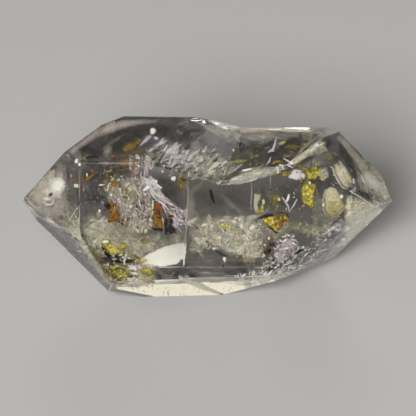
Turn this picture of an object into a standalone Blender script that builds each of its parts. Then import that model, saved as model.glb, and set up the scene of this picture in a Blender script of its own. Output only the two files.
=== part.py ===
"""A doubly terminated petroleum quartz crystal, grown as one solid.

Two parallel portions share one body: a broad left portion and a right portion
whose faces lie a hair deeper, so a fine seam runs down the front. A valley
crosses the top between them. X runs along the crystal, Y away from the viewer
and Z up. The flat spot that the crystal rests on lies in z = 0, and the origin
is at the bottom centre.
"""

import math
from typing import NamedTuple

import bmesh
import bpy
from mathutils import Matrix, Vector

MM = 0.001
BLOCK = 60.0 * MM
SNAP = 1e-7

# Angles of quartz, in degrees: six prism faces a sixth of a turn apart, and
# tip faces that lean by the same angle to the long axis.
FRONT_TURN = 15.5
SIXTH = 60.0
TIP_LEAN = 38.2

# Height of the long axis above the flat spot, how deep the faces of the right
# portion lie behind those of the left one, and how far the two run together.
AXIS_HEIGHT = 5.2 * MM
SEAM_STEP = 0.07 * MM
OVERLAP = 0.6 * MM


class Face(NamedTuple):
    """One growth face.

    turn: degrees around the long axis, 0 facing the viewer and 90 facing up.
    lean: degrees that it closes towards the right tip, negative for the left.
    reach: millimetres from the middle of the axis.
    """

    turn: float
    lean: float
    reach: float


# A small truncation below, on which the crystal lies.
FLAT_SPOT = Face(turn=270.0, lean=0.0, reach=AXIS_HEIGHT / MM)

# Prism faces that both portions share.
FRONT = Face(turn=FRONT_TURN, lean=1.0, reach=2.7)
BACK = Face(turn=FRONT_TURN + 3 * SIXTH, lean=0.0, reach=3.9)
UNDER_BACK = Face(turn=FRONT_TURN + 4 * SIXTH, lean=0.0, reach=5.35)
UNDER_FRONT = Face(turn=FRONT_TURN + 5 * SIXTH, lean=2.0, reach=4.35)

# Faces of the left portion alone; the shoulder and the corner are small bevels
# between its top, its front and its tip.
LEFT_TOP = Face(turn=FRONT_TURN + 56.5, lean=2.0, reach=3.9)
LEFT_TOP_BACK = Face(turn=FRONT_TURN + 2 * SIXTH, lean=0.0, reach=4.25)
LEFT_TOP_END = Face(turn=104.0, lean=24.0, reach=4.25)
LEFT_TIP = (
    Face(turn=FRONT_TURN + 2.0, lean=-TIP_LEAN - 1.0, reach=6.6),
    Face(turn=FRONT_TURN + 115.0, lean=-TIP_LEAN - 3.0, reach=6.6),
    Face(turn=FRONT_TURN + 3 * SIXTH, lean=-TIP_LEAN, reach=6.1),
    Face(turn=FRONT_TURN + 243.0, lean=-TIP_LEAN + 6.0, reach=5.9),
    Face(turn=FRONT_TURN + 306.0, lean=-TIP_LEAN - 6.0, reach=6.75),
)
LEFT_SHOULDER = Face(turn=118.0, lean=-20.5, reach=6.0)
LEFT_CORNER = Face(turn=12.0, lean=-26.5, reach=5.55)

# Faces of the right portion alone; the keel and the bevel are narrow faces
# below its tip.
RIGHT_TOP = Face(turn=108.0, lean=0.0, reach=4.15)
RIGHT_TOP_BACK = Face(turn=FRONT_TURN + 2 * SIXTH, lean=-1.0, reach=3.75)
RIGHT_TIP = (
    Face(turn=FRONT_TURN - 5.5, lean=TIP_LEAN - 0.5, reach=6.8),
    Face(turn=FRONT_TURN + 52.0, lean=TIP_LEAN + 13.0, reach=7.95),
    Face(turn=FRONT_TURN + 118.0, lean=TIP_LEAN - 0.5, reach=7.15),
    Face(turn=FRONT_TURN + 3 * SIXTH, lean=TIP_LEAN + 1.0, reach=6.6),
    Face(turn=FRONT_TURN + 4 * SIXTH, lean=TIP_LEAN, reach=8.1),
    Face(turn=FRONT_TURN + 299.0, lean=TIP_LEAN - 4.0, reach=5.6),
)
RIGHT_KEEL = Face(turn=297.0, lean=17.5, reach=5.2)
RIGHT_BEVEL = Face(turn=322.5, lean=32.0, reach=5.45)

# Where the two portions meet: upright across the front, slanting to the back.
SEAM = Face(turn=12.0, lean=55.4, reach=0.7)

# The floors of the valley across the top, from the left slope to the right one.
VALLEY_LEFT = Face(turn=63.5, lean=13.0, reach=3.25)
VALLEY_FLOOR = Face(turn=71.5, lean=-11.5, reach=2.75)
VALLEY_RIGHT = Face(turn=104.5, lean=-36.5, reach=-0.35)


def outward(face):
    """Unit vector that points straight out of a face."""
    turn = math.radians(face.turn)
    lean = math.radians(face.lean)
    across = math.cos(lean)
    return Vector(
        (math.sin(lean), -across * math.cos(turn), across * math.sin(turn))
    )


def opposite(face):
    """The same plane seen from its other side."""
    return Face(turn=face.turn + 180.0, lean=-face.lean, reach=-face.reach)


def deeper(face, depth):
    """The face moved inwards by a depth in metres."""
    return face._replace(reach=face.reach - depth / MM)


def cut_face(bm, face):
    """Cuts one growth face on a block and caps the opening."""
    normal = outward(face)
    point = Vector((0.0, 0.0, AXIS_HEIGHT)) + normal * face.reach * MM
    bmesh.ops.bisect_plane(
        bm,
        geom=bm.verts[:] + bm.edges[:] + bm.faces[:],
        dist=SNAP,
        plane_co=point,
        plane_no=normal,
        clear_outer=True,
    )
    rim = [edge for edge in bm.edges if edge.is_boundary]
    if rim:
        bmesh.ops.holes_fill(bm, edges=rim, sides=0)


def grown_solid(name, faces, home):
    """A closed solid bounded by growth faces, in a collection."""
    bm = bmesh.new()
    bmesh.ops.create_cube(bm, size=BLOCK)
    for face in faces:
        cut_face(bm, face)
    bmesh.ops.recalc_face_normals(bm, faces=bm.faces[:])
    mesh = bpy.data.meshes.new(name)
    bm.to_mesh(mesh)
    bm.free()
    solid = bpy.data.objects.new(name, mesh)
    home.objects.link(solid)
    return solid


def left_portion(home):
    """The left portion, which ends where it meets the right one."""
    faces = (
        FRONT,
        LEFT_TOP,
        LEFT_TOP_BACK,
        LEFT_TOP_END,
        BACK,
        UNDER_BACK,
        UNDER_FRONT,
        FLAT_SPOT,
        RIGHT_KEEL,
        LEFT_SHOULDER,
        LEFT_CORNER,
        *LEFT_TIP,
        SEAM,
    )
    return grown_solid("quartz_crystal", faces, home)


def right_portion(home):
    """The right portion, which starts a little inside the left one."""
    seam_inside = opposite(deeper(SEAM, OVERLAP))
    faces = (
        deeper(FRONT, SEAM_STEP),
        RIGHT_TOP,
        RIGHT_TOP_BACK,
        deeper(BACK, SEAM_STEP),
        deeper(UNDER_BACK, SEAM_STEP),
        deeper(UNDER_FRONT, SEAM_STEP),
        FLAT_SPOT,
        deeper(RIGHT_KEEL, SEAM_STEP),
        RIGHT_BEVEL,
        *RIGHT_TIP,
        seam_inside,
    )
    return grown_solid("right_portion", faces, home)


def valley_cutter(home):
    """What is missing above the three floors of the valley."""
    floors = (VALLEY_LEFT, VALLEY_FLOOR, VALLEY_RIGHT)
    return grown_solid("valley_cutter", [opposite(f) for f in floors], home)


def combine(base, other, operation):
    """Joins another solid to the base or cuts it away."""
    change = base.modifiers.new(other.name, "BOOLEAN")
    change.solver = "EXACT"
    change.operation = operation
    change.object = other


def bake_modifiers(solid):
    """Turns the modifiers of a solid into plain mesh."""
    shaped = solid.evaluated_get(bpy.context.evaluated_depsgraph_get())
    mesh = bpy.data.meshes.new_from_object(shaped)
    solid.modifiers.clear()
    solid.data = mesh


def centre_on_origin(solid):
    """Moves the solid so that the middle of its outline is over the origin."""
    xs = [vertex.co.x for vertex in solid.data.vertices]
    ys = [vertex.co.y for vertex in solid.data.vertices]
    middle = Vector(((min(xs) + max(xs)) / 2, (min(ys) + max(ys)) / 2, 0.0))
    solid.data.transform(Matrix.Translation(-middle))


def clear_quartz():
    """Clear, very faintly warm crystal."""
    material = bpy.data.materials.new("quartz")
    material.use_nodes = True
    shader = material.node_tree.nodes["Principled BSDF"]
    shader.inputs["Base Color"].default_value = (0.95, 0.94, 0.9, 1.0)
    shader.inputs["Metallic"].default_value = 0.0
    shader.inputs["Roughness"].default_value = 0.03
    shader.inputs["IOR"].default_value = 1.544
    shader.inputs["Transmission Weight"].default_value = 1.0
    return material


def new_collection(name, hidden=False):
    """A collection in the scene, hidden from renders if it holds cutters."""
    collection = bpy.data.collections.new(name)
    collection.hide_render = hidden
    bpy.context.scene.collection.children.link(collection)
    return collection


def hide_tool(solid):
    """Shows a solid that only shapes others as wires."""
    solid.display_type = "WIRE"
    solid.hide_render = True


def main():
    """Builds the crystal."""
    for old in list(bpy.data.objects):
        bpy.data.objects.remove(old)
    home = new_collection("petroleum_quartz")
    tools = new_collection("cutters", hidden=True)

    crystal = left_portion(home)
    right = right_portion(tools)
    valley = valley_cutter(tools)

    combine(crystal, right, "UNION")
    combine(crystal, valley, "DIFFERENCE")
    hide_tool(right)
    hide_tool(valley)

    bake_modifiers(crystal)
    centre_on_origin(crystal)
    crystal.data.materials.clear()
    crystal.data.materials.append(clear_quartz())


main()
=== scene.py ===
"""Looks of one petroleum quartz crystal, with petroleum, bitumen, gas bubbles and healed cracks sealed in it.

The crystal is a fine copy of the CAD solid's facets. Each body in it is a thin closed shell, described by
where the photograph's camera sees it and by how deep it lies. Its points are found along bent lines of sight.
The body is real geometry from then on, and looks right from any side. Some bodies stand for light, not for
inclusions: white flecks and films are painted highlights, cream films painted light, dark films painted shade.
"""
import logging
import math
import random
from dataclasses import dataclass, field
from enum import Enum
from typing import NamedTuple, Sequence

import bmesh
import bpy
import numpy as np
from bpy.types import Material, Mesh, Node, NodeSocket, NodeTree, Object
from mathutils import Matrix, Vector, geometry, noise
from mathutils.bvhtree import BVHTree


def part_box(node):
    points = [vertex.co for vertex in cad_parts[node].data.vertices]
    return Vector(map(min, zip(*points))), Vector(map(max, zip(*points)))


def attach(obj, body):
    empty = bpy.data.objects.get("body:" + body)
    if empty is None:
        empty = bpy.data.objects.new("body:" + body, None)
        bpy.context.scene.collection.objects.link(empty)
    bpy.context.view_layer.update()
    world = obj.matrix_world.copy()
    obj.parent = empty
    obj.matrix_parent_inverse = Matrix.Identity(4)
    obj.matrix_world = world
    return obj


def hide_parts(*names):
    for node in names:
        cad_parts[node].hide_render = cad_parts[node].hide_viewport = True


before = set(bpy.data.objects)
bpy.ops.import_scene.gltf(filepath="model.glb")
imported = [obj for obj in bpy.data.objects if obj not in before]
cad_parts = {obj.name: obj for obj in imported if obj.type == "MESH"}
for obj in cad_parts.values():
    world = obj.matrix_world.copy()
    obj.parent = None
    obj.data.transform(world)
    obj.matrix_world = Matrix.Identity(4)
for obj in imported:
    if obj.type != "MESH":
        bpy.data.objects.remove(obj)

logging.basicConfig(level=logging.INFO, format="%(levelname)s %(message)s")
LOG = logging.getLogger("petroleum_quartz")

MM = 0.001
NODE = "quartz_crystal"
BODY = "root"
QUARTZ_IOR = 1.544
NOISE_SEED = 7
WELD = 1e-6
SHELL_LAYERS = ("tone", "cover", "rim")

Span = tuple[float, float]
Triple = tuple[float, float, float]
Colour = tuple[float, float, float, float]
Stop = tuple[float, Triple]
Ray = tuple[Vector, Vector]
Outline = Sequence[Span]


class Slot(Enum):
    """Material slots of the record."""

    QUARTZ = "quartz"
    PETROLEUM = "petroleum"
    BITUMEN = "bitumen"
    GAS_BUBBLE = "gas_bubble"
    HEALED_CRACK = "healed_crack"


@dataclass(frozen=True)
class Viewpoint:
    """The photograph's camera.

    Args:
        elevation: angle above the table, in degrees.
        centre_rise: height of the picture's centre along its own upward axis, in metres.
        frame_width: width that the picture takes in at the crystal, in metres.
        distance: from the crystal's middle to the lens, in metres.
        middle_height: height of the crystal's middle above the floor, in metres.
        pixels: width and height of the picture.
    """

    elevation: float = 30.0
    centre_rise: float = 4.07 * MM
    frame_width: float = 22.61 * MM
    distance: float = 0.40
    middle_height: float = 4.95 * MM
    pixels: float = 416.0

    @property
    def back(self) -> Vector:
        """Direction from the crystal to the lens."""
        angle = math.radians(self.elevation)
        return Vector((0.0, -math.cos(angle), math.sin(angle)))

    @property
    def up(self) -> Vector:
        """Upward direction of the picture."""
        angle = math.radians(self.elevation)
        return Vector((0.0, math.sin(angle), math.cos(angle)))

    @property
    def middle(self) -> Vector:
        """Place that the centre of the picture shows, level with the crystal's middle."""
        return self.up * self.centre_rise + self.back * (self.middle_height * self.back.z)

    @property
    def lens_place(self) -> Vector:
        """Place of the lens."""
        return self.middle + self.back * self.distance

    @property
    def pixel(self) -> float:
        """Width of one pixel at the crystal, in metres."""
        return self.frame_width / self.pixels

    def ray(self, across: float, down: float) -> Vector:
        """Direction of sight through a point of the picture.

        Args:
            across: pixels from the left side.
            down: pixels from the top.

        Returns:
            Unit direction from the lens.
        """
        half = self.pixels / 2
        aim = self.middle.copy()
        aim += Vector((1.0, 0.0, 0.0)) * ((across - half) * self.pixel)
        aim += self.up * ((half - down) * self.pixel)
        return (aim - self.lens_place).normalized()

    def make_camera(self) -> None:
        """Makes the scene's camera."""
        data = bpy.data.cameras.new("camera")
        data.sensor_width = 36.0
        data.lens = data.sensor_width * self.distance / self.frame_width
        data.clip_start = 0.01
        camera = add_object("camera", data)
        camera.location = self.lens_place
        camera.rotation_euler = (-self.back).to_track_quat("-Z", "Y").to_euler()
        bpy.context.scene.camera = camera


VIEW = Viewpoint()


class Graph:
    """A node tree with short calls for adding and joining nodes."""

    def __init__(self, tree: NodeTree) -> None:
        """Keeps the tree to work on."""
        self.tree = tree

    def add(self, kind: str, **values: object) -> Node:
        """Adds a node.

        Args:
            kind: Blender's name of the node type.
            values: its settings, then a value or an output socket for each input, which has its own name here,
                with a capital and with _ for a space.

        Returns:
            The node.
        """
        node = self.tree.nodes.new(kind)
        for name, value in values.items():
            if name[0].isupper():
                self.put(node.inputs[name.replace("_", " ")], value)
            else:
                setattr(node, name, value)
        return node

    def put(self, socket: NodeSocket, value: object) -> None:
        """Sets one input, or links it to an output socket."""
        if isinstance(value, NodeSocket):
            self.tree.links.new(value, socket)
        else:
            socket.default_value = value

    def math(self, operation: str, first: object, second: object = 0.0) -> NodeSocket:
        """Adds a Math node.

        Args:
            operation: Blender's name of the operation.
            first: value or socket.
            second: value or socket.

        Returns:
            Its result.
        """
        node = self.add("ShaderNodeMath", operation=operation)
        self.put(node.inputs[0], first)
        self.put(node.inputs[1], second)
        return node.outputs[0]

    def vector(self, operation: str, first: object, second: object) -> NodeSocket:
        """Adds a Vector Math node.

        Args:
            operation: Blender's name of the operation.
            first: vector or socket.
            second: vector or socket, or a number where the first one is scaled.

        Returns:
            Its result.
        """
        node = self.add("ShaderNodeVectorMath", operation=operation)
        self.put(node.inputs[0], first)
        self.put(node.inputs["Scale" if operation == "SCALE" else 1], second)
        return node.outputs["Value" if operation == "DOT_PRODUCT" else "Vector"]

    def spread(
        self, value: object, low: float, high: float, to_low: float = 0.0, to_high: float = 1.0
    ) -> NodeSocket:
        """Maps a value smoothly from one span to another.

        Args:
            value: socket to map.
            low: value that gives to_low.
            high: value that gives to_high.
            to_low: first result.
            to_high: last result.

        Returns:
            The mapped value.
        """
        node = self.add(
            "ShaderNodeMapRange", interpolation_type="SMOOTHSTEP", Value=value, From_Min=low, From_Max=high,
            To_Min=to_low, To_Max=to_high,
        )
        return node.outputs["Result"]

    def blend(self, share: object, first: object, second: object) -> NodeSocket:
        """Mixes two colours.

        Args:
            share: 0 for the first colour, 1 for the second.
            first: colour or socket.
            second: colour or socket.

        Returns:
            The mixed colour.
        """
        node = self.add("ShaderNodeMix", data_type="RGBA")
        for index, value in ((0, share), (6, first), (7, second)):
            self.put(node.inputs[index], value)
        return node.outputs[2]


def new_material(name: str) -> tuple[Material, Graph, Node]:
    """Makes a material with its Principled shader.

    Args:
        name: the material's name.

    Returns:
        The material, its graph and the shader node.
    """
    material = bpy.data.materials.new(name)
    material.use_nodes = True
    return material, Graph(material.node_tree), material.node_tree.nodes["Principled BSDF"]


def new_tree(name: str, kind: str, inputs: dict[str, str], outputs: dict[str, str]) -> NodeTree:
    """Makes a node tree with its sockets.

    Args:
        name: the tree's name.
        kind: Blender's name of the tree type.
        inputs: name and kind of each input.
        outputs: name and kind of each output.

    Returns:
        The tree.
    """
    tree = bpy.data.node_groups.new(name, kind)
    for side, sockets in (("INPUT", inputs), ("OUTPUT", outputs)):
        for label, socket in sockets.items():
            tree.interface.new_socket(label, in_out=side, socket_type="NodeSocket" + socket)
    return tree


def add_object(name: str, data: bpy.types.ID) -> Object:
    """Puts a mesh, a light or a camera into the scene as an object at the origin."""
    made = bpy.data.objects.new(name, data)
    bpy.context.scene.collection.objects.link(made)
    return made


def add_piece(name: str, mesh: Mesh) -> Object:
    """Puts a finished piece into the scene.

    Args:
        name: the piece's name.
        mesh: its mesh, with its material.

    Returns:
        The piece, which rides on the crystal's body.
    """
    piece = add_object(name, mesh)
    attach(piece, BODY)
    LOG.info("%s: %d triangles", name, len(mesh.polygons))
    return piece


@dataclass(frozen=True)
class Softbox:
    """One soft studio light.

    Args:
        name: the light's name.
        toward: direction from the crystal to the light.
        distance: in metres.
        width: of the lit surface, in metres.
        height: of the lit surface, in metres.
        power: in watts.
        colour: red, green and blue.
    """

    name: str
    toward: Triple
    distance: float
    width: float
    height: float
    power: float
    colour: Triple = (1.0, 0.97, 0.92)

    def build(self) -> Object:
        """Makes the light.

        Returns:
            The light's object.
        """
        data = bpy.data.lights.new(self.name, "AREA")
        data.shape = "RECTANGLE"
        data.size = self.width
        data.size_y = self.height
        data.energy = self.power
        data.color = self.colour
        light = add_object(self.name, data)
        direction = Vector(self.toward).normalized()
        light.location = direction * self.distance
        light.rotation_euler = direction.to_track_quat("Z", "Y").to_euler()
        return light


@dataclass(frozen=True)
class Glow:
    """A soft area of the surround with a colour of its own.

    Args:
        toward: direction of its middle.
        inner: angle from its middle up to which it is full, in degrees.
        outer: angle at which it ends, in degrees.
        colour: its light.
    """

    toward: Triple
    inner: float
    outer: float
    colour: Colour


@dataclass
class Studio:
    """Plain pale floor and plain soft light.

    Args:
        floor_side: length of the floor's sides, in metres.
        floor_gap: how far the floor lies below the crystal, in metres.
        floor_colour: pale grey.
        base_colour: light of the surround near the horizon.
        top_colour: light of the surround overhead.
        softboxes: lights for the floor.
        inner_softboxes: lights for what is sealed in the quartz.
        glows: brighter and darker areas of the surround.
    """

    floor_side: float = 4.0
    floor_gap: float = 0.03 * MM
    floor_colour: Colour = (0.46, 0.465, 0.47, 1.0)
    base_colour: Colour = (0.105, 0.105, 0.11, 1.0)
    top_colour: Colour = (0.09, 0.09, 0.092, 1.0)
    softboxes: tuple[Softbox, ...] = (
        Softbox("key_softbox", (-0.18, -0.84, 0.48), 0.6, 0.20, 0.20, 6.4, (1.0, 0.985, 0.96)),
    )
    inner_softboxes: tuple[Softbox, ...] = (
        Softbox("inner_key", (-0.30, -0.60, 0.75), 0.12, 0.07, 0.07, 0.21, (0.95, 0.96, 1.0)),
        Softbox("inner_back", (0.30, 0.70, 0.64), 0.12, 0.07, 0.07, 0.08, (0.96, 0.95, 0.95)),
        Softbox("inner_low", (0.25, -0.80, -0.50), 0.12, 0.07, 0.07, 0.12, (0.97, 0.94, 1.0)),
    )
    glows: tuple[Glow, ...] = (
        Glow((0.97, -0.10, 0.22), 14.0, 36.0, (0.035, 0.03, 0.028, 1.0)),
        Glow((0.0, -0.98, 0.15), 35.0, 75.0, (0.035, 0.035, 0.04, 1.0)),
        Glow((-0.64, -0.23, 0.72), 14.0, 30.0, (0.36, 0.315, 0.32, 1.0)),
        Glow((-0.46, 0.88, 0.13), 8.0, 22.0, (0.10, 0.095, 0.11, 1.0)),
        Glow((0.0, 0.95, 0.30), 8.0, 20.0, (1.0, 0.93, 0.70, 1.0)),
        Glow((0.40, 0.80, 0.45), 8.0, 18.0, (0.60, 0.58, 0.52, 1.0)),
    )

    def build_floor(self) -> Object:
        """Makes the floor."""
        half = self.floor_side / 2
        mesh = bpy.data.meshes.new("floor")
        corners = [(-half, -half), (half, -half), (half, half), (-half, half)]
        mesh.from_pydata([(x, y, -self.floor_gap) for x, y in corners], [], [(0, 1, 2, 3)])
        floor = add_object("floor", mesh)
        material, graph, shader = new_material("floor")
        place = graph.add("ShaderNodeTexCoord").outputs["Object"]
        grain = graph.add("ShaderNodeTexNoise", Vector=place, Scale=900.0, Detail=2.0)
        shader.inputs["Base Color"].default_value = self.floor_colour
        graph.put(shader.inputs["Roughness"], graph.spread(grain.outputs[0], 0.3, 0.7, 0.33, 0.37))
        mesh.materials.append(material)
        return floor

    def build_surround(self) -> None:
        """Makes the soft surround: a plain grey with brighter and darker areas."""
        world = bpy.data.worlds.new("surround")
        bpy.context.scene.world = world
        world.use_nodes = True
        graph = Graph(world.node_tree)
        place = graph.add("ShaderNodeTexCoord").outputs["Generated"]
        split = graph.add("ShaderNodeSeparateXYZ", Vector=place)
        colour = graph.blend(graph.spread(split.outputs["Z"], 0.1, 0.9), self.base_colour, self.top_colour)
        for glow in self.glows:
            towards = graph.vector("DOT_PRODUCT", place, Vector(glow.toward).normalized())
            near, far = math.cos(math.radians(glow.inner)), math.cos(math.radians(glow.outer))
            colour = graph.blend(graph.spread(towards, far, near), colour, glow.colour)
        graph.put(world.node_tree.nodes["Background"].inputs["Color"], colour)

    def build(self) -> None:
        """Makes floor, surround and lights; the key lights the floor, where the crystal's shadow stays deep."""
        floor_only = bpy.data.collections.new("floor_only")
        floor_only.objects.link(self.build_floor())
        self.build_surround()
        for softbox in self.softboxes:
            softbox.build().light_linking.receiver_collection = floor_only
        LOG.info("studio: floor, surround and %d softboxes", len(self.softboxes))

    def light_sealed(self, pieces: Sequence[Object]) -> None:
        """Lights what is sealed in the clear quartz, which lets this light through.

        Args:
            pieces: the sealed pieces.
        """
        sealed = bpy.data.collections.new("sealed_bodies")
        for piece in pieces:
            sealed.objects.link(piece)
        for softbox in self.inner_softboxes:
            light = softbox.build()
            light.light_linking.receiver_collection = sealed
            light.light_linking.blocker_collection = sealed
        LOG.info("studio: %d softboxes for the sealed pieces", len(self.inner_softboxes))


class Patch(NamedTuple):
    """A part of the surface with a relief of its own.

    Args:
        centre: place of its middle, in millimetres.
        reach: half size along x, y and z, in millimetres.
        facing: direction that its facets face, all where it is None.
        along: direction of its streaks.
        depth: height of the relief, in metres.
        cross: features per millimetre across the streaks.
        run: features per millimetre along the streaks.
        steps: 0 for a smooth relief, 1 for a terraced one.
    """

    centre: Triple
    reach: Triple
    facing: Triple | None
    along: Triple
    depth: float
    cross: float
    run: float
    steps: float


PATCHES = (
    Patch((0.0, 0.0, 5.0), (12.0, 6.0, 7.0), None, (0.0, 1.0, 0.0), 0.003 * MM, 1.4, 0.35, 0.6),
    Patch((2.2, 1.5, 8.6), (6.0, 4.5, 2.2), (0.0, -0.2, 1.0), (1.0, 1.0, 0.3), 0.035 * MM, 2.6, 0.6, 0.5),
    Patch((0.0, 4.0, 1.6), (9.5, 2.5, 2.0), (0.0, 1.0, -0.2), (0.3, 0.0, 1.0), 0.045 * MM, 1.6, 1.1, 0.4),
    Patch((4.8, -3.0, 1.8), (5.2, 2.6, 1.9), (0.3, -0.5, -0.8), (1.0, 0.2, 0.5), 0.022 * MM, 3.0, 1.2, 0.8),
    Patch((-7.2, -2.4, 2.6), (0.9, 1.4, 1.3), None, (0.5, 0.3, 1.0), 0.04 * MM, 2.4, 1.0, 0.8),
)


@dataclass
class Crystal:
    """The quartz itself, as a fine closed surface in place of the CAD solid.

    Args:
        cell: side of the fine surface's cells, in metres.
        edge_round: width of the worn strip along each edge, in metres.
        edge_calm: distance from the edges over which the relief grows to its full height, in metres.
        foot: height up to which the surface rests on the floor, in metres.
        facet_angle: bend up to which the CAD triangles are one facet, in degrees.
        sharp_angle: bend from which an edge looks sharp, in degrees.
        relief: parts of the surface with relief.
    """

    cell: float = 0.13 * MM
    edge_round: float = 0.035 * MM
    edge_calm: float = 0.35 * MM
    foot: float = 0.02 * MM
    facet_angle: float = 0.6
    sharp_angle: float = 24.0
    relief: Sequence[Patch] = PATCHES

    def welded(self) -> bmesh.types.BMesh:
        """Gives the CAD solid with its loose triangles joined to flat facets."""
        bm = bmesh.new()
        bm.from_mesh(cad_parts[NODE].data)
        bmesh.ops.remove_doubles(bm, verts=bm.verts, dist=WELD)
        bmesh.ops.dissolve_limit(bm, angle_limit=math.radians(self.facet_angle), verts=bm.verts, edges=bm.edges)
        return bm

    def fine_mesh(self) -> tuple[Mesh, np.ndarray]:
        """Cuts the facets into small even cells.

        Returns:
            The mesh, and the two ends of each edge of the CAD solid.
        """
        bm = self.welded()
        edges = np.array([[v.co[:] for v in e.verts] for e in bm.edges])
        bmesh.ops.bevel(
            bm, geom=list(bm.edges), offset=self.edge_round, segments=2, profile=0.5,
            affect="EDGES", clamp_overlap=True,
        )
        low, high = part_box(NODE)
        for axis in range(3):
            normal = Vector((0.0, 0.0, 0.0))
            normal[axis] = 1.0
            length = high[axis] - low[axis]
            count = int(length / self.cell)
            for step in range(count):
                place = Vector((0.0, 0.0, 0.0))
                place[axis] = low[axis] + (step + 0.5) * length / count
                whole = bm.verts[:] + bm.edges[:] + bm.faces[:]
                bmesh.ops.bisect_plane(bm, geom=whole, dist=WELD, plane_co=place, plane_no=normal)
        bmesh.ops.triangulate(bm, faces=bm.faces)
        mesh = bpy.data.meshes.new("quartz_body")
        bm.to_mesh(mesh)
        bm.free()
        return mesh, edges

    @staticmethod
    def gap_to_edges(points: np.ndarray, edges: np.ndarray) -> np.ndarray:
        """Distance of each point to the nearest edge of the CAD solid."""
        best = np.full(len(points), 1.0)
        for start, end in edges:
            run = end - start
            share = np.clip((points - start) @ run / (run @ run), 0.0, 1.0)
            gap = np.linalg.norm(points - (start + share[:, None] * run), axis=1)
            best = np.minimum(best, gap)
        return best

    @staticmethod
    def patch_height(patch: Patch, points: np.ndarray, normals: np.ndarray) -> np.ndarray:
        """Gives the relief of one patch.

        Args:
            patch: the patch.
            points: places on the surface, in metres.
            normals: the surface's directions there.

        Returns:
            Height at each point, in metres.
        """
        rim_fade, facing_from, facing_span = 1.6, 0.35, 0.3
        terraces, riser = 4.0, 4.0
        offset = (points / MM - np.array(patch.centre)) / np.array(patch.reach)
        inside = np.clip(rim_fade * (1.0 - np.linalg.norm(offset, axis=1)), 0.0, 1.0)
        if patch.facing is not None:
            facing = np.array(patch.facing) / np.linalg.norm(patch.facing)
            inside = inside * np.clip((normals @ facing - facing_from) / facing_span, 0.0, 1.0)
        along = Vector(patch.along).normalized()
        side = along.cross(Vector((0.13, 0.71, -0.69))).normalized()
        third = along.cross(side)
        rows = np.array([along * patch.run, side * patch.cross, third * patch.cross])
        local = (points / MM) @ rows.T
        height = np.zeros(len(points))
        for index in np.nonzero(inside > 0.0)[0]:
            wave = noise.fractal(Vector(local[index]), 0.6, 2.1, 4)
            level = math.floor(wave * terraces)
            stepped = (level + min(1.0, (wave * terraces - level) * riser)) / terraces
            height[index] = wave + (stepped - wave) * patch.steps
        return height * inside * patch.depth

    def build(self, material: Material) -> Object:
        """Builds the crystal.

        Args:
            material: clear quartz.

        Returns:
            The finished piece.
        """
        mesh, edges = self.fine_mesh()
        count = len(mesh.vertices)
        points = np.empty(count * 3)
        mesh.vertices.foreach_get("co", points)
        points = points.reshape(-1, 3)
        normals = np.empty(count * 3)
        mesh.vertex_normals.foreach_get("vector", normals)
        normals = normals.reshape(-1, 3)
        fade = np.clip(self.gap_to_edges(points, edges) / self.edge_calm, 0.0, 1.0)
        height = sum(self.patch_height(p, points, normals) for p in self.relief)
        moved = points + normals * (height * fade)[:, None]
        moved[:, 2] = np.where(points[:, 2] < self.foot, points[:, 2], np.maximum(moved[:, 2], 0.0))
        mesh.vertices.foreach_set("co", moved.ravel())
        mesh.update()
        mesh.shade_smooth()
        mesh.set_sharp_from_angle(angle=math.radians(self.sharp_angle))
        mesh.materials.append(material)
        piece = add_piece("quartz_body", mesh)
        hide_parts(NODE)
        return piece


@dataclass(frozen=True)
class ClearQuartz:
    """Finish of the crystal: clear, faintly warm, with growth lines.

    Args:
        absorb_colour: tint of light that passes through it.
        absorb_density: how strongly it tints, per metre.
        lines: growth lines per metre, along the crystal and across it.
        line_height: height of the growth lines, in metres.
        smudges: size of its duller areas, as waves per metre.
        dullest: roughness of its dullest areas.
    """

    absorb_colour: Colour = (0.70, 0.68, 0.58, 1.0)
    absorb_density: float = 14.0
    lines: Triple = (9000.0, 1200.0, 1200.0)
    line_height: float = 0.004 * MM
    smudges: float = 700.0
    dullest: float = 0.05

    def build(self) -> Material:
        """Makes the material."""
        material, graph, shader = new_material("clear_quartz")
        shader.inputs["IOR"].default_value = QUARTZ_IOR
        shader.inputs["Transmission Weight"].default_value = 1.0
        shader.inputs["Base Color"].default_value = (1.0, 1.0, 1.0, 1.0)
        place = graph.add("ShaderNodeTexCoord").outputs["Object"]
        drawn = graph.add("ShaderNodeMapping", Vector=place, Scale=self.lines)
        grain = graph.add("ShaderNodeTexNoise", Vector=drawn.outputs[0], Scale=1.0, Detail=3.0)
        bump = graph.add("ShaderNodeBump", Strength=0.25, Distance=self.line_height, Height=grain.outputs[0])
        graph.put(shader.inputs["Normal"], bump.outputs[0])
        smudge = graph.add("ShaderNodeTexNoise", Vector=place, Scale=self.smudges, Detail=4.0)
        graph.put(shader.inputs["Roughness"], graph.spread(smudge.outputs[0], 0.5, 0.75, 0.0, self.dullest))
        volume = graph.add("ShaderNodeVolumeAbsorption", Color=self.absorb_colour, Density=self.absorb_density)
        graph.put(material.node_tree.nodes["Material Output"].inputs["Volume"], volume.outputs[0])
        return material


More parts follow.
